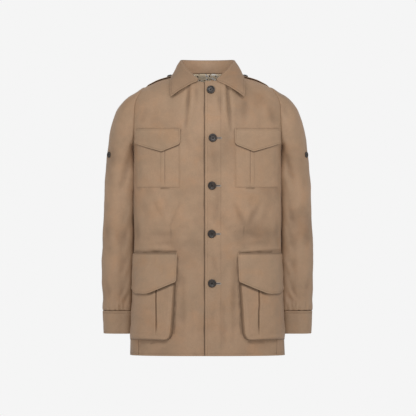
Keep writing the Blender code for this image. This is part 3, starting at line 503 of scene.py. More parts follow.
# column0, row0, column1, row1, bend, depth, width
FRONT_FOLDS = fold_rows(
    (
        (189.4, 80, 185.2, 131, 1.5, 4.6, 5.2),
        (196.5, 84, 194.5, 116, 1.0, 1.6, 6.0),
        (186.5, 118, 189.5, 160, -3.0, 0.8, 9.0),
        (170.0, 92, 172.5, 126, 2.0, 0.9, 9.0),
        (151.7, 198, 166.5, 228, 2.0, 2.0, 6.5),
        (181.0, 199, 167.5, 229, 3.0, 1.8, 6.5),
        (164.5, 192, 166.0, 216, 0.0, 0.8, 6.0),
        (142.0, 196, 150.0, 224, 2.0, 0.9, 7.0),
        (139.5, 152, 138.0, 200, 1.0, 0.8, 6.0),
        (147.0, 104, 139.0, 128, 3.0, 1.0, 8.0),
        (158.0, 100, 150.0, 126, 2.0, 0.7, 9.0),
        (130.0, 251.6, 179.0, 251.2, 0.5, 2.6, 3.6),
        (178.0, 226, 190.0, 229, 2.0, 0.7, 5.0),
        (179.0, 246, 190.0, 240, -2.0, 0.6, 6.0),
        (182.0, 262, 183.5, 352, 2.0, 1.3, 8.0),
        (192.0, 292, 190.5, 350, -2.0, 1.2, 8.0),
        (137.5, 214, 137.0, 250, 1.0, 1.2, 5.5),
        (199.0, 168, 198.0, 214, 1.0, 0.5, 9.0),
        (150.0, 233.8, 176.0, 233.6, 0.5, 0.7, 5.5),
        (148.0, 243.2, 176.0, 243.0, 0.5, 0.7, 5.0),
    ),
    True,
    0.35,
)
FRONT_FOLDS += fold_rows(
    (
        (211.5, 148, 216.0, 176, 1.5, 0.6, 6.0),
        (218.0, 196, 213.0, 226, 1.5, 0.6, 6.0),
        (211.0, 246, 217.5, 274, -1.5, 0.7, 6.0),
        (216.0, 294, 211.0, 330, 1.5, 0.6, 7.0),
        (205.8, 100, 205.8, 150, 0.8, 0.5, 5.0),
        (206.2, 236, 205.8, 282, -0.8, 0.5, 5.0),
    )
)
BACK_FOLDS = fold_rows(
    (
        (140.0, 118, 176.0, 128, 4.0, 1.5, 9.0),
        (150.0, 104, 171.0, 150, -4.0, 1.1, 10.0),
        (136.0, 146, 152.0, 176, -3.0, 1.5, 8.0),
        (146.0, 188, 178.0, 202, 5.0, 1.2, 10.0),
        (138.0, 206, 163.0, 232, -3.0, 1.6, 8.0),
        (178.0, 196, 170.0, 236, 3.0, 1.0, 9.0),
        (152.0, 258, 147.0, 344, 4.0, 1.5, 11.0),
        (180.0, 252, 184.0, 350, -4.0, 1.4, 12.0),
        (166.0, 270, 168.0, 336, 2.0, 0.8, 9.0),
        (196.0, 96, 200.0, 168, 2.0, 0.9, 10.0),
    ),
    True,
    0.5,
)


# column0, row0, column1, row1, darkness, width: painted shadow lines on the fronts, cast by what lies on them
FRONT_PAINTED_SHADOWS = (
    (197.0, 80.5, 171.5, 98.8, 0.75, 3.2),
    (142.0, 252.2, 177.0, 252.0, 0.75, 3.6),
    (131.5, 252.4, 148.0, 252.4, 0.45, 3.0),
    (178.2, 256.0, 176.6, 282.0, 0.55, 1.8),
    (176.9, 284.0, 175.6, 306.0, 0.60, 1.8),
    (175.8, 300.0, 174.0, 334.0, 0.75, 2.2),
    (150.0, 342.4, 168.0, 341.6, 0.60, 2.2),
    (133.5, 341.6, 150.0, 342.2, 0.40, 1.8),
    (171.0, 226.0, 171.3, 248.5, 0.35, 0.9),
    (132.2, 225.0, 131.6, 232.0, 0.80, 1.8),
    (131.8, 242.0, 132.4, 248.5, 0.80, 1.8),
    (180.0, 225.2, 180.0, 226.8, 0.70, 1.0),
    (180.0, 230.2, 180.2, 231.8, 0.70, 1.0),
    (180.0, 248.4, 180.2, 249.8, 0.60, 1.0),
    (138.4, 343.5, 138.2, 354.5, 0.45, 0.9),
    (139.6, 343.5, 139.4, 354.5, 0.30, 0.8),
    (160.0, 188.4, 170.0, 188.4, 0.80, 1.3),
    (180.9, 129.5, 180.6, 144.0, 0.50, 1.2),
    (135.2, 129.5, 135.6, 143.0, 0.30, 1.0),
)


def painted_shadow_lines(x, z, rows):
    """Painted shadow lines as seen from the front, on both halves, fading at their ends."""
    total = np.zeros(np.shape(x))
    for c0, r0, c1, r1, dark, width in rows:
        a0, b0 = seen(c0, r0)
        a1, b1 = seen(c1, r1)
        length = math.hypot(a1 - a0, b1 - b0)
        ca, sa = (a1 - a0) / length, (b1 - b0) / length
        for flip in (1.0, -1.0):
            at = (x * flip - a0) * ca + (z - b0) * sa
            off = -(x * flip - a0) * sa + (z - b0) * ca
            wave = 0.35 * width * np.sin(at / 9.0 + c0 * flip)
            inside = fade(at, -1.5, 4.0) * fade(length - at, -1.5, 4.0)
            total = np.maximum(
                total, dark * inside * bell(off - wave, width) * (0.85 + 0.15 * np.sin(at / 5.0))
            )
    return total


def lumps(place, seed, size):
    """Smooth unevenness over places in space, about 1 high."""
    total = 0.0
    for k in range(10):
        turn = (seed * 1.7 + k * 2.399963) % (2 * math.pi)
        rise = math.sin(seed * 0.9 + k * 1.3) * 0.9
        pitch = size * (0.65 + 0.75 * ((k * 0.618 + seed * 0.37) % 1.0))
        flat = math.sqrt(1 - rise * rise * 0.6)
        along = (
            place[..., 0] * flat * math.cos(turn) + place[..., 1] * flat * math.sin(turn)
            + place[..., 2] * rise
        )
        total = total + np.sin(along * 2 * math.pi / pitch + seed * 4.1 + k * 1.93)
    return total / math.sqrt(10)


def body_relief(place):
    """How far the worn body cloth stands out at places on its smooth form."""
    x, y, z = place[..., 0], place[..., 1], place[..., 2]
    soft = 0.55 * lumps(place, 1.0, 150.0) + 0.30 * lumps(place, 2.0, 62.0) + 0.12 * lumps(place, 3.0, 26.0)
    soft = soft * (1.0 - 0.75 * fade(z, -25.0, 10.0))
    front = fade(-y, 4.0, 34.0)
    back = fade(y, 4.0, 34.0)
    waist = -1.2 * bell(z + 428.0, 26.0) * fade(np.abs(x), 60.0, 110.0)
    return soft + front * creases(x, z, FRONT_FOLDS) + back * creases(x, z, BACK_FOLDS) + waist


def seam_relief(distance, along, seed, gather=0.25):
    """The cloth dips to its seam, with small puckers beside it."""
    pucker = np.sin(
        along * 2 * math.pi / 8.5 + 1.7 * np.sin(along / 21.0 + seed)
    ) * bell(distance - 3.0, 3.0)
    return -0.55 * bell(distance, 1.0) + gather * pucker


def sewn_relief(distance, at, along, seed):
    """The cloth is drawn in along a sewn row, with small puckers."""
    off = distance - at
    pucker = np.sin(along * 2 * math.pi / 6.0 + 1.3 * np.sin(along / 17.0 + seed))
    return -0.30 * bell(off, 0.8) + 0.10 * pucker * bell(off, 3.5)


# ---------------------------------------------------------------- the body


def body_grid(side, start_x, centre_places):
    """The smooth form of a front or of the half back, rows from the hem up."""
    if side < 0:
        shares = spaced(272.0, 3.9, centre_places + (272.0,), 0.55)
    else:
        shares = spaced(292.0, 4.6, (292.0,), 0.6)
    low = -765.2 + 583.2 * spaced(583.2, 4.0, (0.0, 6.5), 0.6, 2.0)
    if side < 0:
        low = np.unique(np.concatenate((low, (-478.0, -474.0, -470.0, -482.0))))
    rows = [low_row(z, start_x, side, shares) for z in low]
    for step in np.linspace(0.0, 1.0, 97)[1:]:
        if side < 0:
            inner = front_inner(step, start_x)
        else:
            inner = (0.0, UNDERARM + (NECK_BACK - UNDERARM) * step)
        rows.append(high_row(step, inner, side, shares))
    return np.array(rows)


def dressed(base, normals, seams, sewn_rows, extra=None):
    """The outer surface with its worn-in relief, dips at seams and drawn-in rows, and its marks of wear and
    painted light and shade.
    """
    left, right, foot, top = edge_distances(base)
    distances = {"left": (left, foot), "right": (right, foot), "foot": (foot, left), "top": (top, left)}
    relief = body_relief(base)
    if "top" in seams:
        armhole = fade(np.where(base[..., 2] > UNDERARM - 12.0, right, 40.0), 0.0, 22.0)
        if "left" in seams:
            armhole = armhole * fade(np.where(base[..., 2] > UNDERARM - 12.0, left, 40.0), 0.0, 22.0)
        relief = relief * armhole
    # Fold ridges lighter, partly rubbed wax and partly painted light; fold troughs darker with painted shade.
    painted_light_and_wear = np.clip(0.22 * relief, -0.6, 0.5)
    # Painted shade in each seam dip, with a lighter painted ridge beside it.
    for k, name in enumerate(seams):
        distance, along = distances[name]
        quiet = 1.0 - 0.75 * fade(base[..., 2], -150.0, -110.0)
        relief = relief + seam_relief(distance, along, k) * quiet
        painted_light_and_wear = painted_light_and_wear + (0.15 * bell(distance - 4.0, 2.0) - 0.35 * bell(distance, 1.4)) * quiet
    # Painted shade along each drawn-in row.
    for k, (name, at) in enumerate(sewn_rows):
        distance, along = distances[name]
        relief = relief + sewn_relief(distance, at, along, k)
        painted_light_and_wear = painted_light_and_wear - 0.22 * bell(distance - at, 1.2)
    # Free edges lighter, partly rubbed wax and partly painted highlight.
    for name in ("left", "right", "foot", "top"):
        if name not in seams:
            painted_light_and_wear = painted_light_and_wear + 0.5 * bell(distances[name][0] - 0.6, 1.0)
    if extra is not None:
        relief = relief + extra
    surface = base + normals * relief[..., None]
    facing = normals_of(surface, False, normals)
    return surface, facing, painted_light_and_wear


# ---------------------------------------------------------------- materials


def mixed(tree, kind, factor, first, second):
    """A colour mix; factor, first and second are sockets or values."""
    mix = tree.nodes.new("ShaderNodeMix")
    mix.data_type = "RGBA"
    mix.blend_type = kind
    for index, value in ((0, factor), (6, first), (7, second)):
        if hasattr(value, "is_linked"):
            tree.links.new(value, mix.inputs[index])
        else:
            mix.inputs[index].default_value = value
    return mix.outputs[2]


def noise(tree, coordinates, scale, detail=3.0, rough=0.55, distortion=0.0):
    made = tree.nodes.new("ShaderNodeTexNoise")
    for name, value in (
        ("Scale", scale), ("Detail", detail), ("Roughness", rough), ("Distortion", distortion)
    ):
        made.inputs[name].default_value = value
    tree.links.new(coordinates, made.inputs["Vector"])
    return made.outputs["Fac"]


def ramp(tree, value, stops):
    made = tree.nodes.new("ShaderNodeValToRGB")
    band = made.color_ramp
    while len(band.elements) < len(stops):
        band.elements.new(0.5)
    for element, (place, colour) in zip(band.elements, stops):
        element.position = place
        element.color = (*colour, 1.0) if len(colour) == 3 else colour
    tree.links.new(value, made.inputs["Fac"])
    return made.outputs["Color"]


def arithmetic(tree, kind, first, second):
    made = tree.nodes.new("ShaderNodeMath")
    made.operation = kind
    for index, value in ((0, first), (1, second)):
        if hasattr(value, "is_linked"):
            tree.links.new(value, made.inputs[index])
        else:
            made.inputs[index].default_value = value
    return made.outputs[0]


def scaled(colour, by, tint=(1.0, 1.0, 1.0)):
    return tuple(min(c * by * t, 1.0) for c, t in zip(colour, tint)) + (1.0,)


def bump(tree, height, strength, distance, previous=None):
    made = tree.nodes.new("ShaderNodeBump")
    made.inputs["Strength"].default_value = strength
    made.inputs["Distance"].default_value = distance
    tree.links.new(height, made.inputs["Height"])
    if previous is not None:
        tree.links.new(previous, made.inputs["Normal"])
    return made.outputs["Normal"]


def waxed_cloth(name, colour, offset):
    """Waxed cotton: mottled wax; pale folds and edges, partly rubbed wax and partly painted light; painted
    shade in seams, creases, under laid-on parts and towards the hem; a fine weave and small crumples.
    """
    made = bpy.data.materials.new(name)
    made.use_nodes = True
    tree = made.node_tree
    shader = tree.nodes["Principled BSDF"]
    coordinates = tree.nodes.new("ShaderNodeTexCoord")
    shift = tree.nodes.new("ShaderNodeMapping")
    shift.inputs["Location"].default_value = offset
    tree.links.new(coordinates.outputs["Object"], shift.inputs["Vector"])
    place = shift.outputs["Vector"]
    cloud = noise(tree, place, 12.0, 4.0, 0.6, 0.6)
    patch = noise(tree, place, 42.0, 4.0, 0.6, 0.8)
    warm = noise(tree, place, 17.0, 3.0, 0.55, 0.4)
    speck = noise(tree, place, 420.0, 3.0, 0.7)
    base = ramp(tree, cloud, (
        (0.32, scaled(colour, 0.95, (0.99, 1.0, 1.0))[:3]),
        (0.68, scaled(colour, 1.06, (1.015, 1.0, 1.0))[:3])
    ))
    tint = ramp(
        tree, warm, ((0.34, (0.98, 1.005, 1.02)), (0.54, (1.0, 1.0, 1.0)), (0.70, (1.045, 0.995, 0.945)))
    )
    base = mixed(tree, "MULTIPLY", 1.0, base, tint)
    tone = ramp(
        tree, patch, ((0.30, (0.945, 0.945, 0.945)), (0.55, (1.0, 1.0, 1.0)), (0.75, (1.045, 1.035, 1.02)))
    )
    base = mixed(tree, "MULTIPLY", 0.85, base, tone)
    grain = ramp(tree, speck, ((0.30, (0.90, 0.90, 0.90)), (0.70, (1.08, 1.08, 1.08))))
    base = mixed(tree, "MULTIPLY", 0.7, base, grain)

    crack = tree.nodes.new("ShaderNodeTexVoronoi")
    crack.feature = "DISTANCE_TO_EDGE"
    crack.inputs["Scale"].default_value = 30.0
    bent = tree.nodes.new("ShaderNodeVectorMath")
    bent.operation = "MULTIPLY_ADD"
    wander = tree.nodes.new("ShaderNodeTexNoise")
    wander.inputs["Scale"].default_value = 26.0
    wander.inputs["Detail"].default_value = 4.0
    tree.links.new(place, wander.inputs["Vector"])
    tree.links.new(wander.outputs["Color"], bent.inputs[0])
    bent.inputs[1].default_value = (0.05, 0.05, 0.05)
    tree.links.new(place, bent.inputs[2])
    tree.links.new(bent.outputs["Vector"], crack.inputs["Vector"])
    line = ramp(tree, crack.outputs["Distance"], ((0.0, (1.0, 1.0, 1.0)), (0.045, (0.0, 0.0, 0.0))))
    where = ramp(tree, noise(tree, place, 14.0, 2.0), ((0.50, (0.0, 0.0, 0.0)), (0.72, (1.0, 1.0, 1.0))))
    line = mixed(tree, "MULTIPLY", 1.0, line, where)
    lined = arithmetic(tree, "MULTIPLY", line, 0.22)
    base = mixed(tree, "MIX", lined, base, scaled(colour, 1.22, (0.98, 1.0, 1.05)))

    # Lighter where the wear attribute is positive: rubbed wax and painted light on ridges, free edges and the
    # inner sleeves and cuffs.
    wear_and_painted_light = tree.nodes.new("ShaderNodeAttribute")
    wear_and_painted_light.attribute_name = "painted_light_and_wear"
    rubbed_and_painted_light = ramp(tree, wear_and_painted_light.outputs["Fac"], ((0.0, (0.0, 0.0, 0.0)), (0.9, (1.0, 1.0, 1.0))))
    uneven = ramp(
        tree, noise(tree, place, 90.0, 4.0, 0.7), ((0.35, (0.35, 0.35, 0.35)), (0.65, (1.0, 1.0, 1.0)))
    )
    rubbed_and_painted_light = mixed(tree, "MULTIPLY", 1.0, rubbed_and_painted_light, uneven)
    base = mixed(
        tree, "MIX", arithmetic(tree, "MULTIPLY", rubbed_and_painted_light, 0.65), base,
        scaled(colour, 1.30, (0.97, 1.0, 1.06))
    )
    # Darker where it is negative: painted shade in seams, creases, stitch rows and under laid-on parts.
    painted_shade_amount = arithmetic(tree, "MULTIPLY", wear_and_painted_light.outputs["Fac"], -1.0)
    painted_shade_amount = ramp(tree, painted_shade_amount, ((0.0, (0.0, 0.0, 0.0)), (1.0, (1.0, 1.0, 1.0))))
    base = mixed(
        tree, "MIX", arithmetic(tree, "MULTIPLY", painted_shade_amount, 0.80), base, scaled(colour, 0.30, (1.0, 0.92, 0.84))
    )
    # Painted shade: the cloth darkens towards the hem, by height.
    parts = tree.nodes.new("ShaderNodeSeparateXYZ")
    tree.links.new(coordinates.outputs["Object"], parts.inputs["Vector"])
    low = arithmetic(tree, "MULTIPLY", parts.outputs["Z"], -1.0)
    hem_painted_shade = ramp(tree, low, ((0.30, (1.0, 1.0, 1.0)), (0.76, (0.86, 0.855, 0.85))))
    base = mixed(tree, "MULTIPLY", 1.0, base, hem_painted_shade)
    tree.links.new(base, shader.inputs["Base Color"])

    rough = ramp(tree, patch, ((0.3, (0.50, 0.50, 0.50)), (0.7, (0.66, 0.66, 0.66))))
    tree.links.new(rough, shader.inputs["Roughness"])
    shader.inputs["Specular IOR Level"].default_value = 0.32
    shader.inputs["Sheen Weight"].default_value = 0.05
    shader.inputs["Sheen Roughness"].default_value = 0.45

    layer = tree.nodes.new("ShaderNodeUVMap")
    layer.uv_map = "cloth"
    threads = []
    for direction in ("X", "Y"):
        wave = tree.nodes.new("ShaderNodeTexWave")
        wave.wave_type = "BANDS"
        wave.bands_direction = direction
        wave.wave_profile = "SIN"
        wave.inputs["Scale"].default_value = 520.0
        wave.inputs["Distortion"].default_value = 0.6
        wave.inputs["Detail"].default_value = 1.0
        tree.links.new(layer.outputs["UV"], wave.inputs["Vector"])
        threads.append(wave.outputs["Fac"])
    weave = arithmetic(tree, "MAXIMUM", threads[0], threads[1])
    crumple = noise(tree, place, 120.0, 5.0, 0.62, 0.4)
    soft = noise(tree, place, 34.0, 4.0, 0.55, 0.5)
    bent = bump(tree, soft, 0.30, 0.004)
    bent = bump(tree, crumple, 0.22, 0.0016, bent)
    bent = bump(tree, line, 0.10, 0.0006, bent)
    bent = bump(tree, speck, 0.12, 0.0005, bent)
    bent = bump(tree, weave, 0.10, 0.00025, bent)
    tree.links.new(bent, shader.inputs["Normal"])
    return made


def printed_cotton(name, ground, cream, brown):
    """A small scattered print of cream and brown motifs on a plain-weave ground."""
    made = bpy.data.materials.new(name)
    made.use_nodes = True
    tree = made.node_tree
    shader = tree.nodes["Principled BSDF"]
    layer = tree.nodes.new("ShaderNodeUVMap")
    layer.uv_map = "cloth"
    wander = tree.nodes.new("ShaderNodeTexNoise")
    wander.inputs["Scale"].default_value = 260.0
    wander.inputs["Detail"].default_value = 2.0
    tree.links.new(layer.outputs["UV"], wander.inputs["Vector"])
    bent = tree.nodes.new("ShaderNodeVectorMath")
    bent.operation = "MULTIPLY_ADD"
    tree.links.new(wander.outputs["Color"], bent.inputs[0])
    bent.inputs[1].default_value = (0.0035, 0.0035, 0.0)
    tree.links.new(layer.outputs["UV"], bent.inputs[2])

    def dots(scale, size, jitter):
        cells = tree.nodes.new("ShaderNodeTexVoronoi")
        cells.inputs["Scale"].default_value = scale
        cells.inputs["Randomness"].default_value = jitter
        tree.links.new(bent.outputs["Vector"], cells.inputs["Vector"])
        return ramp(
            tree, cells.outputs["Distance"], ((size, (1.0, 1.0, 1.0)), (size + 0.06, (0.0, 0.0, 0.0)))
        )

    base = ramp(
        tree, noise(tree, layer.outputs["UV"], 60.0),
        ((0.3, scaled(ground, 0.94)[:3]), (0.7, scaled(ground, 1.05)[:3]))
    )
    base = mixed(tree, "MIX", dots(105.0, 0.40, 0.75), base, (*cream, 1.0))
    base = mixed(tree, "MIX", dots(150.0, 0.26, 0.9), base, (*brown, 1.0))
    tree.links.new(base, shader.inputs["Base Color"])
    shader.inputs["Roughness"].default_value = 0.85
    shader.inputs["Specular IOR Level"].default_value = 0.2
    speck = noise(tree, layer.outputs["UV"], 1500.0, 2.0)
    tree.links.new(bump(tree, speck, 0.35, 0.0003), shader.inputs["Normal"])
    return made


def thread_look(name, colour):
    made = bpy.data.materials.new(name)
    made.use_nodes = True
    tree = made.node_tree
    shader = tree.nodes["Principled BSDF"]
    coordinates = tree.nodes.new("ShaderNodeTexCoord")
    speck = noise(tree, coordinates.outputs["Object"], 900.0, 2.0)
    base = ramp(tree, speck, ((0.3, scaled(colour, 0.82)[:3]), (0.7, scaled(colour, 1.12)[:3])))
    tree.links.new(base, shader.inputs["Base Color"])
    shader.inputs["Roughness"].default_value = 0.6
    tree.links.new(bump(tree, speck, 0.3, 0.0002), shader.inputs["Normal"])
    return made


def horn_look(name, dark, light):
    made = bpy.data.materials.new(name)
    made.use_nodes = True
    tree = made.node_tree
    shader = tree.nodes["Principled BSDF"]
    coordinates = tree.nodes.new("ShaderNodeTexCoord")
    cloud = noise(tree, coordinates.outputs["Object"], 70.0, 5.0, 0.6, 1.2)
    streak = noise(tree, coordinates.outputs["Object"], 230.0, 4.0, 0.6, 2.0)
    base = ramp(tree, cloud, ((0.40, dark), (0.72, light)))
    base = mixed(
        tree, "MULTIPLY", 0.5, base, ramp(tree, streak, ((0.3, (0.6, 0.6, 0.6)), (0.7, (1.3, 1.3, 1.3))))
    )
    tree.links.new(base, shader.inputs["Base Color"])
    rough = ramp(tree, streak, ((0.3, (0.28, 0.28, 0.28)), (0.7, (0.40, 0.40, 0.40))))
    tree.links.new(rough, shader.inputs["Roughness"])
    shader.inputs["Coat Weight"].default_value = 0.12
    shader.inputs["Coat Roughness"].default_value = 0.12
    tree.links.new(bump(tree, streak, 0.05, 0.0003), shader.inputs["Normal"])
    return made


def plain_look(name, colour, roughness):
    made = bpy.data.materials.new(name)
    made.use_nodes = True
    tree = made.node_tree
    shader = tree.nodes["Principled BSDF"]
    coordinates = tree.nodes.new("ShaderNodeTexCoord")
    speck = noise(tree, coordinates.outputs["Object"], 6.0, 3.0)
    base = ramp(tree, speck, ((0.3, scaled(colour, 0.985)[:3]), (0.7, scaled(colour, 1.01)[:3])))
    tree.links.new(base, shader.inputs["Base Color"])
    shader.inputs["Roughness"].default_value = roughness
    return made


CANVAS_COLOUR = (0.368, 0.238, 0.148)
TRIM_COLOUR = (0.362, 0.238, 0.149)
canvas = waxed_cloth("waxed_cotton", CANVAS_COLOUR, (0.0, 0.0, 0.0))
trim = waxed_cloth("waxed_cotton_trim", TRIM_COLOUR, (1.3, 0.4, 0.7))
# Painted shade and light: the collar leaf gets a darker copy of the cloth and the inside of the collar a
# lighter one, tints fitted to the tone that these parts have in the photo under the lights below.
COLLAR_SHADED_COLOUR = (0.312, 0.199, 0.122)
STAND_LIT_COLOUR = (0.500, 0.328, 0.210)
collar_shaded_cloth = waxed_cloth("waxed_cotton_collar", COLLAR_SHADED_COLOUR, (0.2, 1.1, 0.5))
stand_lit_cloth = waxed_cloth("waxed_cotton_collar_inside", STAND_LIT_COLOUR, (0.9, 0.3, 1.6))
lining = printed_cotton("printed_lining", (0.90, 0.77, 0.57), (1.0, 0.99, 0.95), (0.09, 0.05, 0.03))
thread = thread_look("sewing_thread", (0.300, 0.195, 0.120))
pale_thread = thread_look("buttonhole_thread", (0.33, 0.28, 0.24))
dark_thread = thread_look("button_thread", (0.040, 0.028, 0.022))
horn = horn_look("dark_horn", (0.010, 0.007, 0.006), (0.045, 0.028, 0.020))

BODY = "root"
made_pieces = []


def belongs(piece, slot, *nodes):
    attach(piece, BODY)
    if nodes:
        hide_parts(*nodes)
    made_pieces.append(piece)
    return piece


def both_sides(
    name, outer, normals, wall, loops, finish, slot, painted_light_and_wear, lines=(), pitch=STITCH_PITCH
):
    """The wearer's left piece and its mirror image, each with its stitching."""
    for side in ("left", "right"):
        grid, out = (outer, normals) if side == "left" else (mirror_x(outer), mirror_x(normals))
        piece = belongs(
            shell(f"{name}_{side}_cloth", grid, out, wall, loops, finish, painted_light_and_wear), slot, f"{name}_{side}"
        )
        if lines:
            sewing = stitches(f"{name}_{side}_stitches", lines, thread, pitch, mirror=side == "right")
            belongs(sewing, slot)


# ---------------------------------------------------------------- fronts and back

CANVAS_SLOT, TRIM_SLOT = "waxed_canvas", "waxed_canvas_trim"
LINING_SLOT, HORN_SLOT = "lining_print", "horn_button"
LEFT_EDGE, RIGHT_EDGE = -7.0, -26.0
SHELL_WALL = 1.3


def front_piece(side, start_x):
    base = body_grid(-1, start_x, (0.0, 6.0, 44.0))
    normals = normals_of(base, False, np.broadcast_to(np.array((0.3, -1.0, 0.1)), base.shape))
    normals[-1] = unit(normals[-1] * np.array((1.0, 0.0, 1.0)))
    nudge = 0.5 * (SEAM + 0.05)
    base = base.copy()
    base[:, -1] -= unit(base[:, -1] - base[:, -2]) * nudge
    base[-1] -= unit(base[-1] - base[-2]) * nudge
    if side == "left":
        lap = 1.2 * (1 - fade(base[..., 0], 30.0, 60.0))
        rolled = 1.3 * bell(base[..., 0] - start_x, 4.0)
        lap = lap + rolled * (0.6 + 0.4 * np.sin(base[..., 2] / 31.0))
    else:
        deep = 2.0 + 1.2 * fade(base[..., 2], -30.0, -5.0)
        lap = -deep * (1 - fade(base[..., 0], 9.0, 32.0))
    real = base if side == "left" else mirror_x(base)
    out = normals if side == "left" else mirror_x(normals)
    sewn_rows = [("foot", 6.5)]
    if side == "left":
        sewn_rows += [("left", 6.0), ("left", 44.0)]
    surface, facing, painted_light_and_wear = dressed(real, out, ("right", "top"), sewn_rows, lap)
    # Painted shadow on the right front beside the lapped edge of the left; painted shade along the left
    # front's edge, with a lighter painted strip beside it.
    wavy = 0.7 * np.sin(real[..., 2] / 19.0) + 0.4 * np.sin(real[..., 2] / 7.0)
    if side == "right":
        painted_light_and_wear = painted_light_and_wear - 1.6 * bell(real[..., 0] + 7.6 + wavy, 2.2)
    else:
        painted_light_and_wear = painted_light_and_wear - 1.1 * bell(real[..., 0] + 7.0, 1.2) + 0.25 * bell(real[..., 0] + 3.0, 2.0)
    # Painted shadow lines cast by the collar, flaps and pockets that lie on the fronts.
    painted_light_and_wear = painted_light_and_wear - 1.2 * painted_shadow_lines(real[..., 0], real[..., 2], FRONT_PAINTED_SHADOWS)
    return real, out, surface, facing, painted_light_and_wear


front_data = {side: front_piece(side, start) for side, start in (("left", LEFT_EDGE), ("right", RIGHT_EDGE))}
WAIST_ROWS = ((225.4, 143.0, 176.5), (230.0, 143.0, 176.5), (238.3, 135.0, 176.5), (248.3, 143.0, 177.0))
for side, (base, out, surface, facing, painted_light_and_wear) in front_data.items():
    left, right, foot, top = edge_distances(base)
    lines = [sewn(surface, facing, foot, 6.5, True)]
    if side == "left":
        lines.append(sewn(surface, facing, left, 6.0, False, 0.01, 0.99))
        lines.append(sewn(surface, facing, left, 44.0, False, 0.01, 0.80))
    lines.append(sewn(surface, facing, right, 5.0, False, 0.03, 0.97))
    height = base[..., 2]
    for row, from_column, to_column in WAIST_ROWS:
        z = seen(0, row)[1]
        places, outward = sewn(surface, facing, height[: 200], z, True)
        across = np.abs(places[:, 0])
        keep = (across > (207.5 - to_column) * 2.8) & (across < 205.0)
        lines.append((places[keep], outward[keep]))
    piece = shell(f"front_{side}_cloth", surface, facing, SHELL_WALL, False, canvas, painted_light_and_wear)
    belongs(piece, CANVAS_SLOT, f"front_{side}")
    belongs(stitches(f"front_{side}_stitches", lines, thread), CANVAS_SLOT)

half = body_grid(1, 0.0, ())
half_normals = normals_of(half, False, np.broadcast_to(np.array((0.3, 1.0, 0.1)), half.shape))
last = half[-1, :, 0] > NECK_SIDE[0] - 14.0
half_normals[-1, last] = unit(half_normals[-1, last] * np.array((1.0, 0.0, 1.0)))
half[:, -1] -= unit(half[:, -1] - half[:, -2]) * 0.5 * (SEAM + 0.05)
half[-1, last] -= unit(half[-1, last] - half[-2, last]) * 0.5 * (SEAM + 0.05)
back_base = np.concatenate((mirror_x(half)[:, :0:-1], half), axis=1)
back_out = np.concatenate((mirror_x(half_normals)[:, :0:-1], half_normals), axis=1)
middle = np.abs(back_base[..., 0])
centre_seam = -0.7 * bell(middle, 1.4) + 0.3 * bell(middle - 4.0, 2.5)
surface, facing, painted_light_and_wear = dressed(back_base, back_out, ("left", "right", "top"), [("foot", 6.5)], centre_seam)
# Painted shade along the centre back seam.
painted_light_and_wear = painted_light_and_wear - 0.5 * bell(middle, 1.6)
left, right, foot, top = edge_distances(back_base)
lines = [sewn(surface, facing, foot, 6.5, True), sewn(surface, facing, left, 5.0, False, 0.03, 0.97)]
lines.append(sewn(surface, facing, right, 5.0, False, 0.03, 0.97))
lines.append(sewn(surface, facing, back_base[..., 0], 4.0, False, 0.02, 0.98))
for row in (225.4, 230.0, 238.3, 248.3):
    lines.append(sewn(surface, facing, back_base[:200, :, 2], seen(0, row)[1], True, 0.02, 0.98))
piece = shell("back_cloth", surface, facing, SHELL_WALL, False, canvas, painted_light_and_wear)
belongs(piece, CANVAS_SLOT, "back")
belongs(stitches("back_stitches", lines, thread), CANVAS_SLOT)
back_surface, back_facing = surface, facing

# ---------------------------------------------------------------- neck lining

inside = back_surface - back_facing * (SHELL_WALL + 0.5)
middle_column = back_base.shape[1] // 2
reach = int(np.searchsorted(back_base[-1, middle_column:, 0], 72.0))
top_row = back_base.shape[0] - 1
rows_from = top_row - int(np.searchsorted(27.0 - back_base[::-1, middle_column, 2], 64.0))
patch = inside[rows_from:, middle_column - reach : middle_column + reach + 1]
patch_out = -back_facing[rows_from:, middle_column - reach : middle_column + reach + 1]
piece = shell("neck_lining_cloth", patch, patch_out, -0.6, False, lining)
belongs(piece, LINING_SLOT, "neck_lining")

# ---------------------------------------------------------------- sleeves and cuffs


def sleeve_ring(row, turns, first):
    read = dict(zip(SLEEVE_COLUMNS, row))
    inner = np.array((read["in_x"], 0.0, read["in_z"]))
    outer = np.array((read["out_x"], 0.0, read["out_z"]))
    centre, reach, like = (inner + outer) / 2, (outer - inner) / 2, read["like_armhole"]
    top, foot = first[0], first[len(first) // 2]
    depth_scale = read["half_depth"] / np.abs(first[:, 1]).max()
    cosine, sine = np.cos(turns), np.sin(turns)
    share = np.sign(cosine) * np.abs(cosine) ** (2 / read["power"])
    depth = -np.sign(sine) * np.abs(sine) ** (2 / read["power"]) * read["half_depth"]
    share = share + (cosine - share) * like
    depth = depth + (first[:, 1] * depth_scale - depth) * like
    straight = foot[0] + (top[0] - foot[0]) * (first[:, 2] - foot[2]) / (top[2] - foot[2])
    bow = (first[:, 0] - straight) * like
    shift = np.stack([bow, read["centre_y"] + depth, 0 * bow], axis=-1)
    return centre + reach * share[:, None] + shift


HALF_TURNS = 52
steps = np.linspace(0.0, 1.0, HALF_TURNS + 1)
first = [
    skin(*armhole_at(step), -1) for step in steps[::-1]
] + [skin(*armhole_at(step), 1) for step in steps[1:-1]]
first = np.array(first) + np.array((SEAM + 0.8, 0.0, 0.0))
turns = np.linspace(0.0, 2 * math.pi, 2 * HALF_TURNS + 1)[:-1]


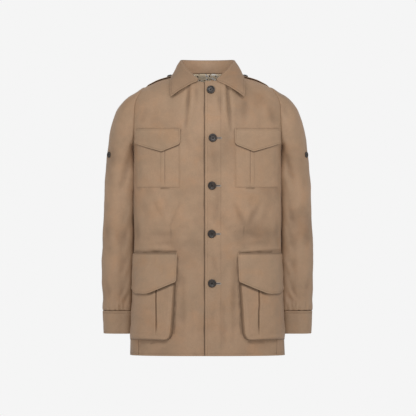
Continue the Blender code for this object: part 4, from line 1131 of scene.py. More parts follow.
def through(rings, step, places=(), fine=0.6):
    """Rings between given rings, on one smooth curve for each point of them."""
    rings = np.asarray(rings)
    gaps = np.linalg.norm(np.diff(rings, axis=0), axis=2).mean(axis=1)
    knots = np.concatenate(([0.0], np.cumsum(gaps)))
    slopes = np.gradient(rings, knots, axis=0)
    at = spaced(knots[-1], step, places, fine) * knots[-1]
    index = np.clip(np.searchsorted(knots, at, side="right") - 1, 0, len(knots) - 2)
    width = (knots[index + 1] - knots[index])[:, None, None]
    s = ((at - knots[index])[:, None, None]) / width
    first_part = (1 + 2 * s) * (1 - s) ** 2 * rings[index] + s * (1 - s) ** 2 * width * slopes[index]
    return (
        first_part + s * s * (3 - 2 * s) * rings[index + 1] + s * s * (s - 1) * width * slopes[index + 1], at
    )


SLEEVE_FOLDS = fold_rows(
    (
        (129.5, 266, 118.0, 300, 1.5, 2.0, 5.0),
        (130.5, 288, 118.5, 309, 1.0, 2.2, 4.5),
        (127.5, 298, 121.0, 311, 0.5, 1.6, 4.0),
        (131.0, 150, 116.0, 196, 4.0, 1.6, 8.0),
        (131.5, 176, 121.0, 226, 3.0, 1.6, 7.5),
        (131.0, 214, 119.0, 252, 2.0, 1.2, 7.0),
        (131.0, 246, 117.0, 276, 2.0, 1.1, 6.5),
        (112.0, 150, 109.5, 214, 1.0, 0.9, 8.0),
        (109.0, 228, 112.0, 290, -1.0, 1.0, 8.0),
        (139.0, 98, 122.0, 120, 3.0, 1.1, 7.0),
        (136.0, 116, 120.0, 146, 4.0, 1.4, 8.0),
        (104.0, 268, 110.0, 304, 0.5, 1.0, 6.0),
        (108.0, 298, 108.5, 312, 0.0, 1.4, 2.6),
        (113.0, 300, 112.0, 312, 0.0, 1.2, 2.4),
        (119.5, 299, 119.0, 312, 0.3, 1.5, 2.4),
        (124.0, 301, 122.5, 312, 0.3, 1.5, 2.4),
        (127.5, 300, 126.5, 312, 0.0, 1.3, 2.2),
        (121.5, 240, 120.5, 294, 1.0, 0.8, 7.0),
        (105.5, 200, 106.5, 262, 0.5, 0.8, 7.0),
    )
)
SLEEVE_BACK_FOLDS = fold_rows(
    (
        (131.0, 196, 104.0, 214, 3.0, 2.0, 8.0),
        (131.0, 212, 106.0, 226, 2.0, 2.2, 7.0),
        (131.0, 232, 108.0, 244, -2.0, 1.7, 7.0),
        (138.0, 104, 118.0, 134, 4.0, 1.4, 9.0),
        (133.0, 136, 112.0, 172, 4.0, 1.5, 9.0),
        (126.0, 262, 112.0, 302, 2.0, 1.6, 7.0),
        (112.0, 252, 108.0, 300, -1.0, 1.1, 7.0),
    )
)


def sleeve_relief(rings, at, side):
    """Folds from underarm and elbow, gathers at the cuff and ease at the head, uneven from side to side."""
    x, y, z = rings[..., 0], rings[..., 1], rings[..., 2]
    centre = rings.mean(axis=1, keepdims=True)
    toward = (y - centre[..., 1]) / np.maximum(np.abs(y - centre[..., 1]).max(axis=1, keepdims=True), 1.0)
    seen_x = -np.abs(x)
    place = rings * np.array((1.0 if side == "left" else -1.0, 1.0, 1.0)) + (0.0 if side == "left" else 40.0)
    soft = 0.75 * lumps(place, 5.0, 130.0) + 0.45 * lumps(place, 6.0, 55.0) + 0.14 * lumps(place, 7.0, 24.0)
    vary = 1.0 if side == "left" else 0.85
    moved = 0.0 if side == "left" else 5.0
    front = fade(-toward, 0.05, 0.45) * creases(seen_x, z + moved, SLEEVE_FOLDS) * 1.15 * vary
    back = fade(toward, 0.05, 0.45) * creases(seen_x, z - moved, SLEEVE_BACK_FOLDS) * vary
    length = at[-1]
    turn = np.linspace(0, 2 * math.pi, rings.shape[1], endpoint=False)[None, :]
    phase = 0.0 if side == "left" else 1.1
    gather = np.sin(
        17 * turn + 1.3 * np.sin(3 * turn + phase) + phase
    ) + 0.5 * np.sin(29 * turn + 2.0 * np.sin(2 * turn))
    gather = gather * (0.75 + 0.25 * np.sin(5 * turn + phase))
    near = length - at[:, None]
    gather = gather * 1.7 * np.exp(-near / 12.0) * (1 - 0.35 * bell(near, 1.5))
    fullness = 1.6 * bell(near - 14.0, 16.0)
    head = 0.25 * np.sin(60 * turn + 2 * np.sin(5 * turn)) * bell(at[:, None] - 5.0, 5.0)
    ease = fade(at[:, None], 0.0, 20.0)
    return (soft + front + back) * (0.15 + 0.85 * ease) * (
        0.25 + 0.75 * fade(near, 0.0, 12.0)
    ) + gather + head + fullness


tucked = first - np.array((4.0, 0.0, 0.0))
middle_of_hole = np.array((0.0, first[:, 1].mean(), (first[:, 2].max() + first[:, 2].min()) / 2))
from_middle = (first - middle_of_hole) * np.array((0.0, 1.0, 1.0))
tucked -= unit(from_middle) * 3.6
coarse = [tucked, first - np.array((0.7, 0.0, 0.0))] + [
    sleeve_ring(row, turns, first) for row in SLEEVE_ROWS
]
sleeve_rings, sleeve_at = through(coarse, 4.1, (0.0, 5.5, 622.0), 0.6)
sleeve_at = sleeve_at - np.linalg.norm(coarse[1] - coarse[0], axis=1).mean()
cuff_rings, cuff_at = through([sleeve_ring(row, turns, first) for row in CUFF_ROWS], 2.4, (0.0, 64.0), 0.6)
inward = fade(233.0 - sleeve_rings[..., 0], 0.0, 18.0)
inward = inward * fade(sleeve_rings[..., 1], -32.0, 4.0) * fade(-sleeve_rings[..., 2], 174.0, 187.0)
inward = inward * (4.6 + 1.4 * fade(sleeve_rings[..., 1], 10.0, 30.0))
sleeve_rings[..., 0] -= inward * (1 - fade(-sleeve_rings[..., 2], 250.0, 330.0))


FULLNESS = 4.6


def flattened(rings):
    """Arm rings drawn out fuller towards the body, where the hanging sleeve lies flat, and how much painted
    light their inner side takes.
    """
    high, low = rings[..., :2].max(axis=1, keepdims=True), rings[..., :2].min(axis=1, keepdims=True)
    middle, half = (high + low) / 2, (high - low) / 2
    place = (rings[..., :2] - middle) / half
    full = (np.abs(place) ** FULLNESS).sum(axis=-1) ** (-1 / FULLNESS)
    facing_body = fade(-place[..., 0], 0.0, 0.45) * fade(-rings[..., 2], 200.0, 270.0)
    drawn = rings.copy()
    drawn[..., :2] = middle + place * half * (1 + (full - 1) * facing_body)[..., None]
    return drawn, fade(-place[..., 0], 0.30, 0.85) * fade(-rings[..., 2], 170.0, 230.0)


sleeve_rings, sleeve_painted_light = flattened(sleeve_rings)
cuff_rings, cuff_painted_light = flattened(cuff_rings)
sleeve_outer = {}
for side in ("left", "right"):
    flip = np.array((1.0 if side == "left" else -1.0, 1.0, 1.0))
    rings = sleeve_rings * flip
    centre = rings.mean(axis=1, keepdims=True)
    out = normals_of(rings, True, rings - centre)
    relief = sleeve_relief(rings, sleeve_at, side)
    distance = sleeve_at[:, None] + 0 * relief
    quiet = 1.0 - 0.75 * fade(rings[..., 2], -150.0, -110.0)
    relief = relief - 0.35 * bell(distance, 1.3) * quiet
    # Fold ridges lighter and troughs darker, partly rubbed wax, partly painted light and shade; painted shade
    # at the armhole seam; painted light on the inner side towards the body.
    wear_and_painted_light = np.clip(0.2 * relief, -0.6, 0.5) - 0.35 * bell(distance, 1.6) * quiet + 0.7 * sleeve_painted_light
    # Painted shadow where the cuff overlaps the sleeve's end.
    wear_and_painted_light = wear_and_painted_light - 0.9 * bell(sleeve_at[-1] - distance, 1.6)
    surface = rings + out * relief[..., None]
    facing = normals_of(surface, True, surface - surface.mean(axis=1, keepdims=True))
    piece = belongs(
        shell(f"sleeve_{side}_cloth", surface, facing, 1.2, True, canvas, wear_and_painted_light), CANVAS_SLOT,
        f"sleeve_{side}"
    )
    sleeve_outer[side] = (surface, facing)
    row = np.full(surface.shape[1] - 1, float(np.interp(5.0, sleeve_at, np.arange(len(sleeve_at)))))
    column = np.arange(surface.shape[1] - 1, dtype=float)
    lines = [(sample(surface, row, column), unit(sample(facing, row, column)))]
    belongs(stitches(f"sleeve_{side}_stitches", lines, thread), CANVAS_SLOT)

    rings = cuff_rings * flip
    out = normals_of(rings, True, rings - rings.mean(axis=1, keepdims=True))
    soft = 0.30 * lumps(rings, 9.0, 60.0) + 0.12 * lumps(rings, 10.0, 20.0)
    distance = cuff_at[:, None] + 0 * soft
    relief = soft + 1.3 * fade(distance, 0.0, 3.0) - 0.55 * bell(distance - 6.0, 1.1) - 0.35 * bell(
        cuff_at[-1] - distance - 5.0, 0.9
    )
    relief = relief + 0.35 * np.sin(
        34 * np.linspace(0, 2 * math.pi, rings.shape[1], endpoint=False)
    )[None, :] * np.exp(-distance / 9.0)
    # Lighter lower edge and ridge, partly rubbed wax and partly painted highlight; painted shade at the top
    # edge and along the upper stitch row.
    wear_and_painted_light = 0.5 * bell(
        cuff_at[-1] - distance, 1.5
    ) + 0.15 * bell(distance - 2.5, 1.2) - 0.6 * bell(distance, 1.2) - 0.9 * bell(distance - 6.0, 1.5)
    # Painted light over the whole cuff, and more on its inner side towards the body.
    wear_and_painted_light = wear_and_painted_light + 0.35 + 0.5 * cuff_painted_light
    surface = rings + out * relief[..., None]
    facing = normals_of(surface, True, surface - surface.mean(axis=1, keepdims=True))
    piece = belongs(
        shell(f"cuff_{side}_cloth", surface, facing, 2.4, True, trim, wear_and_painted_light), TRIM_SLOT, f"cuff_{side}"
    )
    lines = []
    for at in (6.0, cuff_at[-1] - 5.0):
        row = np.full(surface.shape[1], float(np.interp(at, cuff_at, np.arange(len(cuff_at)))))
        column = np.arange(surface.shape[1], dtype=float)
        lines.append((sample(surface, row, column), unit(sample(facing, row, column))))
    belongs(stitches(f"cuff_{side}_stitches", lines, thread), TRIM_SLOT)


# ---------------------------------------------------------------- searching the cloth below


def tree_of(*grids):
    points, faces = [], []
    for grid in grids:
        rows, columns = grid.shape[:2]
        quads = grid_quads(rows, columns, False, sum(len(p) for p in points))
        points.append(grid.reshape(-1, 3))
        faces.append(quads)
    return BVHTree.FromPolygons(np.concatenate(points).tolist(), np.concatenate(faces).tolist())


def kept_clear(grid, tree, gap, reach=60.0):
    """Points nearer than the gap to the cloth under them, moved straight out to the gap."""
    moved = grid.copy()
    for place in np.ndindex(grid.shape[:2]):
        point = Vector(grid[place])
        found, normal, _, distance = tree.find_nearest(point)
        if found is None or distance > reach:
            continue
        centre = Vector((0.0, 0.0, point.z - 60.0))
        outward = -normal if normal.dot(found - centre) < 0.0 else normal
        height = (point - found).dot(outward)
        if height < gap and (distance < gap or abs(height) > 0.7 * distance):
            moved[place] = point + outward * (gap - height)
    return moved


def raised(base, out, lift, tree, gap, times):
    """The lift over a form, raised to clear the cloth below it and softened where it has room."""
    needed = np.full(lift.shape, -100.0)
    for place in np.ndindex(lift.shape):
        start = Vector(base[place] + out[place] * 80.0)
        found, _, _, distance = tree.ray_cast(start, Vector(-out[place]), 80.0)
        if found is not None:
            needed[place] = 80.0 - distance + gap
    lift = np.maximum(lift, needed)
    for _ in range(times):
        soft = lift.copy()
        soft[1:-1, 1:-1] = 0.5 * lift[1:-1, 1:-1] + 0.125 * (
            lift[:-2, 1:-1] + lift[2:, 1:-1] + lift[1:-1, :-2] + lift[1:-1, 2:]
        )
        soft[0, 1:-1] = 0.5 * lift[0, 1:-1] + 0.25 * (lift[0, :-2] + lift[0, 2:])
        soft[1:-1, 0] = 0.5 * lift[1:-1, 0] + 0.25 * (lift[:-2, 0] + lift[2:, 0])
        soft[0, 0] = 0.5 * (lift[0, 1] + lift[1, 0])
        lift = np.maximum(soft, needed)
    return lift


def smoothed(grid, times):
    """A grid whose inner points have been drawn towards their neighbours' average."""
    for _ in range(times):
        soft = grid.copy()
        soft[1:-1, 1:-1] = 0.5 * grid[1:-1, 1:-1] + 0.125 * (
            grid[:-2, 1:-1] + grid[2:, 1:-1] + grid[1:-1, :-2] + grid[1:-1, 2:]
        )
        grid = soft
    return grid


body_tree = tree_of(
    front_data["left"][2][::2, ::2], front_data["right"][2][::2, ::2], back_surface[::2, ::2]
)

# ---------------------------------------------------------------- epaulettes

EPAULETTE_WALL = 1.3
along_shares = spaced(93.0, 1.8, (0.0,), 0.5)
across_shares = spaced(46.0, 1.6, (0.0, 3.5, 42.5, 46.0), 0.5, 1.5) * 2 - 1
epaulette = []
for along in along_shares:
    cx, cy, half_width = (float(EPAULETTE[name](along)) for name in EPAULETTE_COLUMNS[1:])
    half_width = half_width if along > 0.12 else 18.0 * math.sqrt(max(1 - (1 - along / 0.12) ** 2, 0.03))
    row = []
    for across in across_shares:
        x, y = cx + across * half_width * 0.30, cy + across * half_width
        found = body_tree.ray_cast(Vector((x, y, 200.0)), Vector((0.0, 0.0, -1.0)))[0]
        if found is None:
            found = body_tree.find_nearest(Vector((x, y, float(crest_height(x)))))[0]
        row.append((x, y, found.z))
    epaulette.append(row)
epaulette = smoothed(np.array(epaulette), 4)
epaulette_out = normals_of(epaulette, False, np.broadcast_to(np.array((0.0, 0.0, 1.0)), epaulette.shape))
left, right, foot, top = edge_distances(epaulette)
near_edge = np.minimum(np.minimum(left, right), foot)
curl = 3.4 * fade(-across_shares, 0.25, 1.0) + 0.7 * fade(across_shares, 0.3, 1.0)
lift = 1.5 + curl[None, :] * (
    0.35 + 0.65 * np.sin(math.pi * np.clip(along_shares * 0.8 + 0.2, 0, 1))
)[:, None]
lift = lift + 0.2 * lumps(epaulette, 11.0, 30.0)
lift = lift - 0.35 * bell(near_edge - 3.6, 0.8) - 0.25 * bell(near_edge, 0.8) - 0.8 * bell(top, 1.5)
surface = kept_clear(epaulette + epaulette_out * lift[..., None], body_tree, EPAULETTE_WALL + 0.15)
facing = normals_of(surface, False, epaulette_out)
# Lighter edges, partly rubbed wax and partly painted highlight; painted shade along the stitch row and at the
# sewn-in outer end.
wear_and_painted_light = 0.55 * bell(near_edge - 0.5, 1.1) - 0.25 * bell(near_edge - 3.6, 1.0) - 0.6 * bell(top, 1.4)
lines = [
    sewn(surface, facing, left, 3.6, False, 0.05, 0.99),
    sewn(surface, facing, right, 3.6, False, 0.05, 0.99),
    sewn(surface, facing, foot, 3.6, True, 0.1, 0.9),
]
both_sides("epaulette", surface, facing, EPAULETTE_WALL, False, trim, TRIM_SLOT, wear_and_painted_light, lines, 2.6)
epaulette_surface = surface

# ---------------------------------------------------------------- collar

ROLL_HALF_WIDTH, ROLL_FRONT, ROLL_BACK = 75.5, 79.0, 74.0


def neck_height(turn):
    if turn <= RIGHT_ANGLE:
        return NECK_FRONT + (NECK_SIDE[1] - NECK_FRONT) * (1.0 - math.cos(turn))
    share = math.sin(turn)
    return NECK_BACK + (NECK_SIDE[1] - NECK_BACK) * share * share


def on_ring(turn, front, back, half_width):
    depth = front if math.cos(turn) > 0.0 else back
    return np.array((half_width * math.sin(turn), -depth * math.cos(turn), 0.0))


def bent_line(points, shares):
    """Places along a soft curve through a few points."""
    points = np.asarray(points)
    knots = lengths(points)
    slopes = np.gradient(points, knots, axis=0)
    at = np.asarray(shares) * knots[-1]
    index = np.clip(np.searchsorted(knots, at, side="right") - 1, 0, len(knots) - 2)
    width = (knots[index + 1] - knots[index])[:, None]
    s = (at - knots[index])[:, None] / width
    low = (1 + 2 * s) * (1 - s) ** 2 * points[index] + s * (1 - s) ** 2 * width * slopes[index]
    return low + s * s * (3 - 2 * s) * points[index + 1] + s * s * (s - 1) * width * slopes[index + 1]


up = np.array((0.0, 0.0, 1.0))
collar_steps = spaced(300.0, 2.9, (0.0, 3.0), 0.5, 2.0)
fall_shares = spaced(92.0, 2.0, (0.0, 5.0, 88.5, 92.0), 0.6, 2.0)
stand_shares = spaced(60.0, 3.6, (0.0, 60.0), 0.6)
stand, fall = [], []
skin_front, skin_back = -skin(0.0, NECK_FRONT, -1)[1], skin(0.0, NECK_BACK, 1)[1]
for step in collar_steps:
    read = {name: float(COLLAR[name](step)) for name in COLLAR_COLUMNS[1:]}
    turn = math.radians(read["turn"])
    outward = np.array((math.sin(turn), -math.cos(turn), 0.0))
    roll = on_ring(turn, ROLL_FRONT, ROLL_BACK, ROLL_HALF_WIDTH) + up * (
        read["roll_z"] + 2.6 * fade(step, 0.35, 0.75)
    )
    edge = np.array((read["edge_x"], read["edge_y"], read["edge_z"]))
    foot = on_ring(
        turn, skin_front, skin_back, NECK_SIDE[0]
    ) + up * (neck_height(turn) + 1.2) - outward * 0.6
    top = roll - outward * 2.3 - up * 1.6
    belly = (foot + top) / 2 - outward * 1.0
    stand.append(bent_line((foot, belly, top), stand_shares))
    shoulder = roll + outward * 4.2 - up * 4.2
    reach = edge - shoulder
    lift = unit(np.cross(np.cross(reach, up), reach))
    section = [
        roll - outward * 2.3 - up * 1.3, roll - outward * 1.3 + up * 0.1, roll + outward * 1.6 - up * 0.4,
        shoulder
    ]
    for share in (0.24, 0.50, 0.76, 1.0):
        section.append(shoulder + reach * share + lift * read["bulge"] * 4.0 * share * (1.0 - share))
    fall.append(bent_line(section, fall_shares))
stand = np.array(stand).transpose(1, 0, 2)
fall = np.array(fall).transpose(1, 0, 2)
under, strap = tree_of(front_data["left"][2][::2, ::2], back_surface[::2, ::2]), tree_of(epaulette_surface)
first_fall = int(np.searchsorted(fall_shares, 0.25))
for gap, times in ((2.6, 4), (2.3, 2)):
    fall[first_fall:] = kept_clear(fall[first_fall:], under, gap)
    fall[first_fall:] = kept_clear(fall[first_fall:], strap, gap, 6.0)
    fall[first_fall:] = smoothed(fall[first_fall:], times)
stand_off = 8.0 * (1 - fade(collar_steps, 0.10, 0.42))[None, :] * fade(fall_shares, 0.30, 0.95)[:, None]
fall = fall + stand_off[..., None] * np.array((0.12, -0.95, 0.05))


def doubled(grid):
    return np.concatenate((grid, mirror_x(grid)[:, -2::-1]), axis=1)


stand, fall = doubled(stand), doubled(fall)
centre = np.array((0.0, 0.0, 30.0))
fall_out = normals_of(fall, False, np.zeros(3))
sign = np.sign(np.median(np.sum(fall_out[20:] * (fall[20:] - centre), axis=-1)))
fall_out = fall_out * sign
stand_out = normals_of(stand, False, stand - centre)
left, right, foot, top = edge_distances(fall)
near = np.minimum(np.minimum(left, right), top)
COLLAR_FOLDS = (
    (60.0, 10.0, 88.0, -16.0, 3.0, 0.9, 6.0),
    (-66.0, 6.0, -90.0, -24.0, 3.0, 0.8, 6.0),
    (40.0, -2.0, 62.0, -18.0, 2.0, 0.6, 5.0),
    (-38.0, 0.0, -58.0, -20.0, 2.0, 0.7, 5.0),
)
outside = fade(foot, 8.0, 26.0)
relief = 0.5 * lumps(fall, 12.0, 90.0) + 0.28 * lumps(fall, 13.0, 40.0)
relief = relief * outside + creases(
    fall[..., 0], fall[..., 2], COLLAR_FOLDS
) * outside * fade(-fall[..., 1], 0.0, 30.0)
relief = relief - 0.45 * bell(near - 5.2, 0.9) * outside + 0.35 * bell(near - 2.2, 2.0) * outside
# Lighter edges and roll, partly rubbed wax and partly painted highlight; painted shade along the stitch row.
wear_and_painted_light = 0.55 * bell(near - 0.5, 1.2) + 0.35 * bell(foot - 6.0, 4.0) - 0.28 * bell(near - 5.2, 1.1) * outside
fall_surface = fall + fall_out * relief[..., None]
fall_facing = normals_of(fall_surface, False, fall_out)
piece = shell("collar_fall_cloth", fall_surface, fall_facing, 1.7, False, collar_shaded_cloth, wear_and_painted_light)
belongs(piece, CANVAS_SLOT, "collar_fall")
lines = [
    sewn(fall_surface, fall_facing, top, 5.2, True, 0.012, 0.988),
    sewn(fall_surface, fall_facing, left, 5.2, False, 0.16, 0.97),
    sewn(fall_surface, fall_facing, right, 5.2, False, 0.16, 0.97),
]
belongs(stitches("collar_fall_stitches", lines, thread, 2.7), CANVAS_SLOT)
left, right, foot, top = edge_distances(stand)
relief = 0.25 * lumps(stand, 14.0, 50.0) * fade(foot, 0.0, 8.0) * fade(top, 0.0, 8.0)
# Painted shade at the neck seam and under the roll.
wear_and_painted_light = -0.5 * bell(foot, 2.0) - 0.35 * bell(top, 1.5)
stand_surface = stand + stand_out * relief[..., None]
piece = shell(
    "collar_stand_cloth", stand_surface, normals_of(stand_surface, False, stand_out), 1.4, False,
    stand_lit_cloth, wear_and_painted_light
)
belongs(piece, CANVAS_SLOT, "collar_stand")
inner = stand_surface - stand_out * 1.4
lines = [
    sewn(inner, -stand_out, foot, 3.0, True, 0.01, 0.99), sewn(inner, -stand_out, top, 4.0, True, 0.01, 0.99)
]
belongs(stitches("collar_stand_stitches", lines, thread, 2.7), CANVAS_SLOT)

# ---------------------------------------------------------------- pockets


def ring_normals(grid):
    x, z = grid[..., 0], grid[..., 2]
    half, front, power = RING["half_width"](z), RING["front_depth"](z), RING["power"](z)
    along = (np.maximum(x, 0.0) / half) ** (power - 1) / half
    deep = (np.maximum(-grid[..., 1], 0.0) / front) ** (power - 1) / front
    return unit(np.stack([along, -deep, 0 * along], axis=-1))


def ring_span(z, inner, outer, shares):
    half, power = float(RING["half_width"](z)), float(RING["power"](z))
    start = math.asin((inner / half) ** (power / 2))
    end = math.asin(min(outer / half, 1.0) ** (power / 2))
    return along_row(ring_turns(z, start, end, 160), shares)


def bag_form(inner_edge, outer_edge, heights, shares):
    return np.array([ring_span(z, float(inner_edge(z)), float(outer_edge(z)), shares) for z in heights])


def flap_form(top, edge, inner_x, outer_x, shares, rises):
    """A flap from its shaped lower edge up to its straight top."""
    low_x = edge[0][0] + (edge[-1][0] - edge[0][0]) * shares
    low_z = np.interp(low_x, [p[0] for p in edge], [p[1] for p in edge])
    kernel = np.array((0.25, 0.5, 0.25))
    low_z[1:-1] = np.convolve(low_z, kernel, "same")[1:-1]
    grid = np.zeros((len(rises), len(shares), 3))
    for i, rise in enumerate(rises):
        for j, share in enumerate(shares):
            z = low_z[j] + (top - low_z[j]) * rise
            half, power = float(RING["half_width"](z)), float(RING["power"](z))
            outer = min(float(outer_x(z)), half * 0.9935)
            start = math.asin((inner_x / half) ** (power / 2))
            end = math.asin((outer / half) ** (power / 2))
            grid[i, j] = along_row(ring_turns(z, start, end, 40), [share])[0]
    return grid


def below_edge(flap, bag, start, reach):
    """Where a bag lies in the shade just below the lower edge of its flap."""
    order = np.argsort(flap[0, :, 0])
    edge_z = np.interp(bag[..., 0], flap[0, order, 0], flap[0, order, 2])
    under = edge_z - bag[..., 2]
    return fade(under, -4.0, start) * (1 - fade(under, start, start + reach))


def rounded_corner(left, low, size):
    """How much a rounded corner takes away near two edges."""
    dx, dy = np.maximum(size - left, 0.0), np.maximum(size - low, 0.0)
    return np.maximum(np.hypot(dx, dy) - size, 0.0)


for side in ("left", "right"):
    flip = np.array((1.0 if side == "left" else -1.0, 1.0, 1.0))
    vary = 0.0 if side == "left" else 2.0

    chest_edge = ((76.0, -170.5), (79.0, -175.5), (84.0, -178.5), (120.4, -195.4), (198.5, -171.0))
    shares = spaced(128.0, 2.2, (0.0, 4.0, 124.0, 128.0), 0.5, 1.5)
    rises = spaced(56.0, 1.9, (0.0, 4.0, 53.0, 56.0), 0.5, 1.5)
    chest_flap = flap_form(-131.0, chest_edge, 76.0, lambda z: 198.5, shares, rises)

    # The chest bag, with one pleat.
    shares = spaced(127.0, 2.2, (0.0, 5.0, 42.8, 53.6, 127.0), 0.45, 1.5)
    heights = -295.4 + 155.4 * spaced(155.4, 2.4, (0.0, 3.0), 0.5, 1.5)
    bag = bag_form(lambda z: 77.2, lambda z: 196.5, heights, shares)
    out = ring_normals(bag)
    left, right, foot, top = edge_distances(bag)
    edge = np.minimum(np.minimum(left, right), foot)
    real = bag * flip
    lift = 1.5 + 0.5 * fade(shares, 0.6, 0.9)[None, :] + body_relief(real)
    belly = fade(edge, 0.0, 26.0)
    pleat = fade(left, 42.2, 43.4) * (1 - fade(left, 52.8, 54.6))
    deep = bell(left - 42.4, 0.9)
    upper = 1 - 0.75 * bell(foot, 16.0)
    lift = lift + 1.1 * belly + (
        0.85 * pleat - 1.0 * deep
    ) * upper + 0.22 * lumps(real, 15.0 + vary, 34.0) * belly
    lift = lift - 0.25 * bell(edge - 3.0, 0.9) - 0.35 * bell(edge, 0.8)
    # Lighter bottom edge and pleat fold as painted highlight; painted shade along the stitch row, in the
    # pleat and at its foot.
    wear_and_painted_light = (
        0.3 * bell(foot - 0.6, 1.0) - 0.14 * bell(edge - 3.0, 1.0) - 0.75 * deep * upper
        + 0.3 * bell(left - 44.0, 1.0) * upper
    )
    wear_and_painted_light = wear_and_painted_light - 0.28 * bell(left - 54.6, 0.9) * upper - 0.10 * bell(foot, 1.0)
    wear_and_painted_light = wear_and_painted_light - 0.6 * bell(foot - 0.2, 1.3) * bell(bag[..., 0] - 119.0, 13.0)
    # Painted shadow on the bag just below the flap's lower edge.
    wear_and_painted_light = wear_and_painted_light - 1.1 * below_edge(chest_flap, bag, 1.6, 3.0) * (1 - 0.5 * fade(bag[..., 0], 150.0, 185.0))
    surface = bag + out * lift[..., None]
    facing = normals_of(surface, False, out)
    lines = [sewn(surface, facing, foot, 3.0, True, 0.02, 0.98)]
    lines += [
        sewn(surface, facing, left, 3.0, False, 0.02, 1.0),
        sewn(surface, facing, right, 3.0, False, 0.02, 1.0)
    ]
    piece = shell(f"chest_pocket_{side}_cloth", surface * flip, facing * flip, 1.1, False, canvas, wear_and_painted_light)
    belongs(piece, CANVAS_SLOT, f"chest_pocket_{side}")
    belongs(
        stitches(f"chest_pocket_{side}_stitches", lines, thread, 2.7, mirror=side == "right"), CANVAS_SLOT
    )
    chest_tree = tree_of(surface)

    # The chest flap.
    flap = chest_flap
    shares = (flap[-1, :, 0] - 76.0) / 122.5
    out = ring_normals(flap)
    left, right, foot, top = edge_distances(flap)
    edge = np.minimum(np.minimum(left, right), foot)
    real = flap * flip
    lift = 4.7 + 0.5 * fade(shares, 0.6, 0.9)[None, :] + body_relief(real)
    lift = lift - 2.1 * (1 - fade(top, 0.0, 7.0)) + 1.9 * bell(foot, 8.0)
    lift = lift + 0.3 * lumps(real, 17.0 + vary, 38.0) * fade(top, 0.0, 20.0)
    lift = lift - 0.30 * bell(edge - 4.2, 0.9) - 0.30 * bell(edge, 0.8) - 0.35 * bell(top - 4.0, 0.9)
    # Lighter edges, partly rubbed wax and partly painted highlight; painted shade along the sewn top and the
    # stitch rows.
    wear_and_painted_light = (
        0.6 * bell(edge - 0.5, 1.2) - 0.25 * bell(edge - 4.2, 1.0) - 0.55 * bell(top, 1.2)
        - 0.25 * bell(top - 4.0, 1.0)
    )
    surface = kept_clear(flap + out * lift[..., None], chest_tree, 1.5, 12.0)
    facing = normals_of(surface, False, out)
    lines = [
        sewn(surface, facing, foot, 4.2, True, 0.03, 0.97),
        sewn(surface, facing, top[::-1][::-1], 4.0, True, 0.01, 0.99)
    ]
    lines += [
        sewn(surface, facing, left, 4.2, False, 0.07, 1.0),
        sewn(surface, facing, right, 4.2, False, 0.07, 1.0)
    ]
    piece = shell(f"chest_flap_{side}_cloth", surface * flip, facing * flip, 1.2, False, trim, wear_and_painted_light)
    belongs(piece, TRIM_SLOT, f"chest_flap_{side}")
    belongs(stitches(f"chest_flap_{side}_stitches", lines, thread, 2.7, mirror=side == "right"), TRIM_SLOT)

    low_edge = (
        (85.0, -555.0),
        (87.0, -559.0),
        (112.0, -573.5),
        (140.0, -589.5),
        (150.0, -592.0),
        (176.0, -591.5),
        (212.0, -579.0),
    )
    shares = spaced(152.0, 2.3, (0.0, 4.0, 148.0, 152.0), 0.55, 2.0)
    rises = spaced(100.0, 2.2, (0.0, 4.0, 97.0, 100.0), 0.55, 2.0)
    low_flap = flap_form(-478.0, low_edge, 85.0, lambda z: RING["half_width"](z) * 0.9935, shares, rises)
    flap_shares = shares

    # The lower bellows bag, with one open pleat.
    shares = spaced(150.0, 2.3, (0.0, 3.0, 6.0, 43.0, 46.5, 50.0, 53.5, 150.0), 0.55, 1.8)
    heights = -721.0 + 229.0 * spaced(229.0, 2.6, (0.0, 5.0, 14.0), 0.6, 2.0)
    inner_curve = Curve(
        (-721.0, -719.0, -715.0, -709.0, -700.0, -646.0, -560.0, -480.0),
        (117.0, 108.5, 102.5, 98.8, 96.4, 92.5, 87.5, 86.0)
    )
    bag = bag_form(inner_curve, lambda z: RING["half_width"](z) * 0.9935, heights, shares)
    out = ring_normals(bag)
    left, right, foot, top = edge_distances(bag)
    u, v = shares[None, :], ((heights + 721.0) / 229.0)[:, None]
    corner = rounded_corner(left, foot, 26.0)
    proud = 15.0 * fade(left - corner, 0.0, 6.5) * (
        1 - 0.93 * fade(u, 0.52, 0.95)
    ) * fade(foot - 0.6 * corner, 0.0, 11.0)
    proud = proud * (1 - 0.85 * fade(v, 0.70, 1.0))
    real = bag * flip
    pleat_off = bag[..., 0] - (138.0 + 0.5 * np.sin(heights / 17.0)[:, None])
    open_pleat = bell(pleat_off, 1.5) * fade(foot, 14.0, 52.0)
    beside = (bell(pleat_off - 4.2, 2.6) + 0.6 * bell(pleat_off + 4.0, 2.4)) * fade(foot, 6.0, 40.0)
    inside_bag = fade(left, 6.0, 26.0) * fade(foot, 8.0, 30.0)
    lift = 2.1 + proud + body_relief(real) * (1 - 0.5 * inside_bag)
    lift = lift - 4.6 * open_pleat + 0.9 * beside + 0.6 * lumps(real, 19.0 + vary, 64.0) * inside_bag
    lift = lift + 0.25 * lumps(real, 20.0 + vary, 24.0) * inside_bag
    sag = bell(foot - 24.0, 16.0) * inside_bag
    lift = lift + 1.2 * sag - 0.8 * bell(real[..., 2] + 641.0, 6.0) * fade(left, 60.0, 90.0) * (
        1 - fade(left, 112.0, 130.0)
    )
    lift = lift + 0.9 * np.sin((left + 0.5 * foot) / 6.5) * bell(foot - 12.0, 8.0) * 0.35
    lift = lift - 0.35 * bell(left - 3.0, 1.0) - 0.35 * bell(foot - 3.0, 1.0)
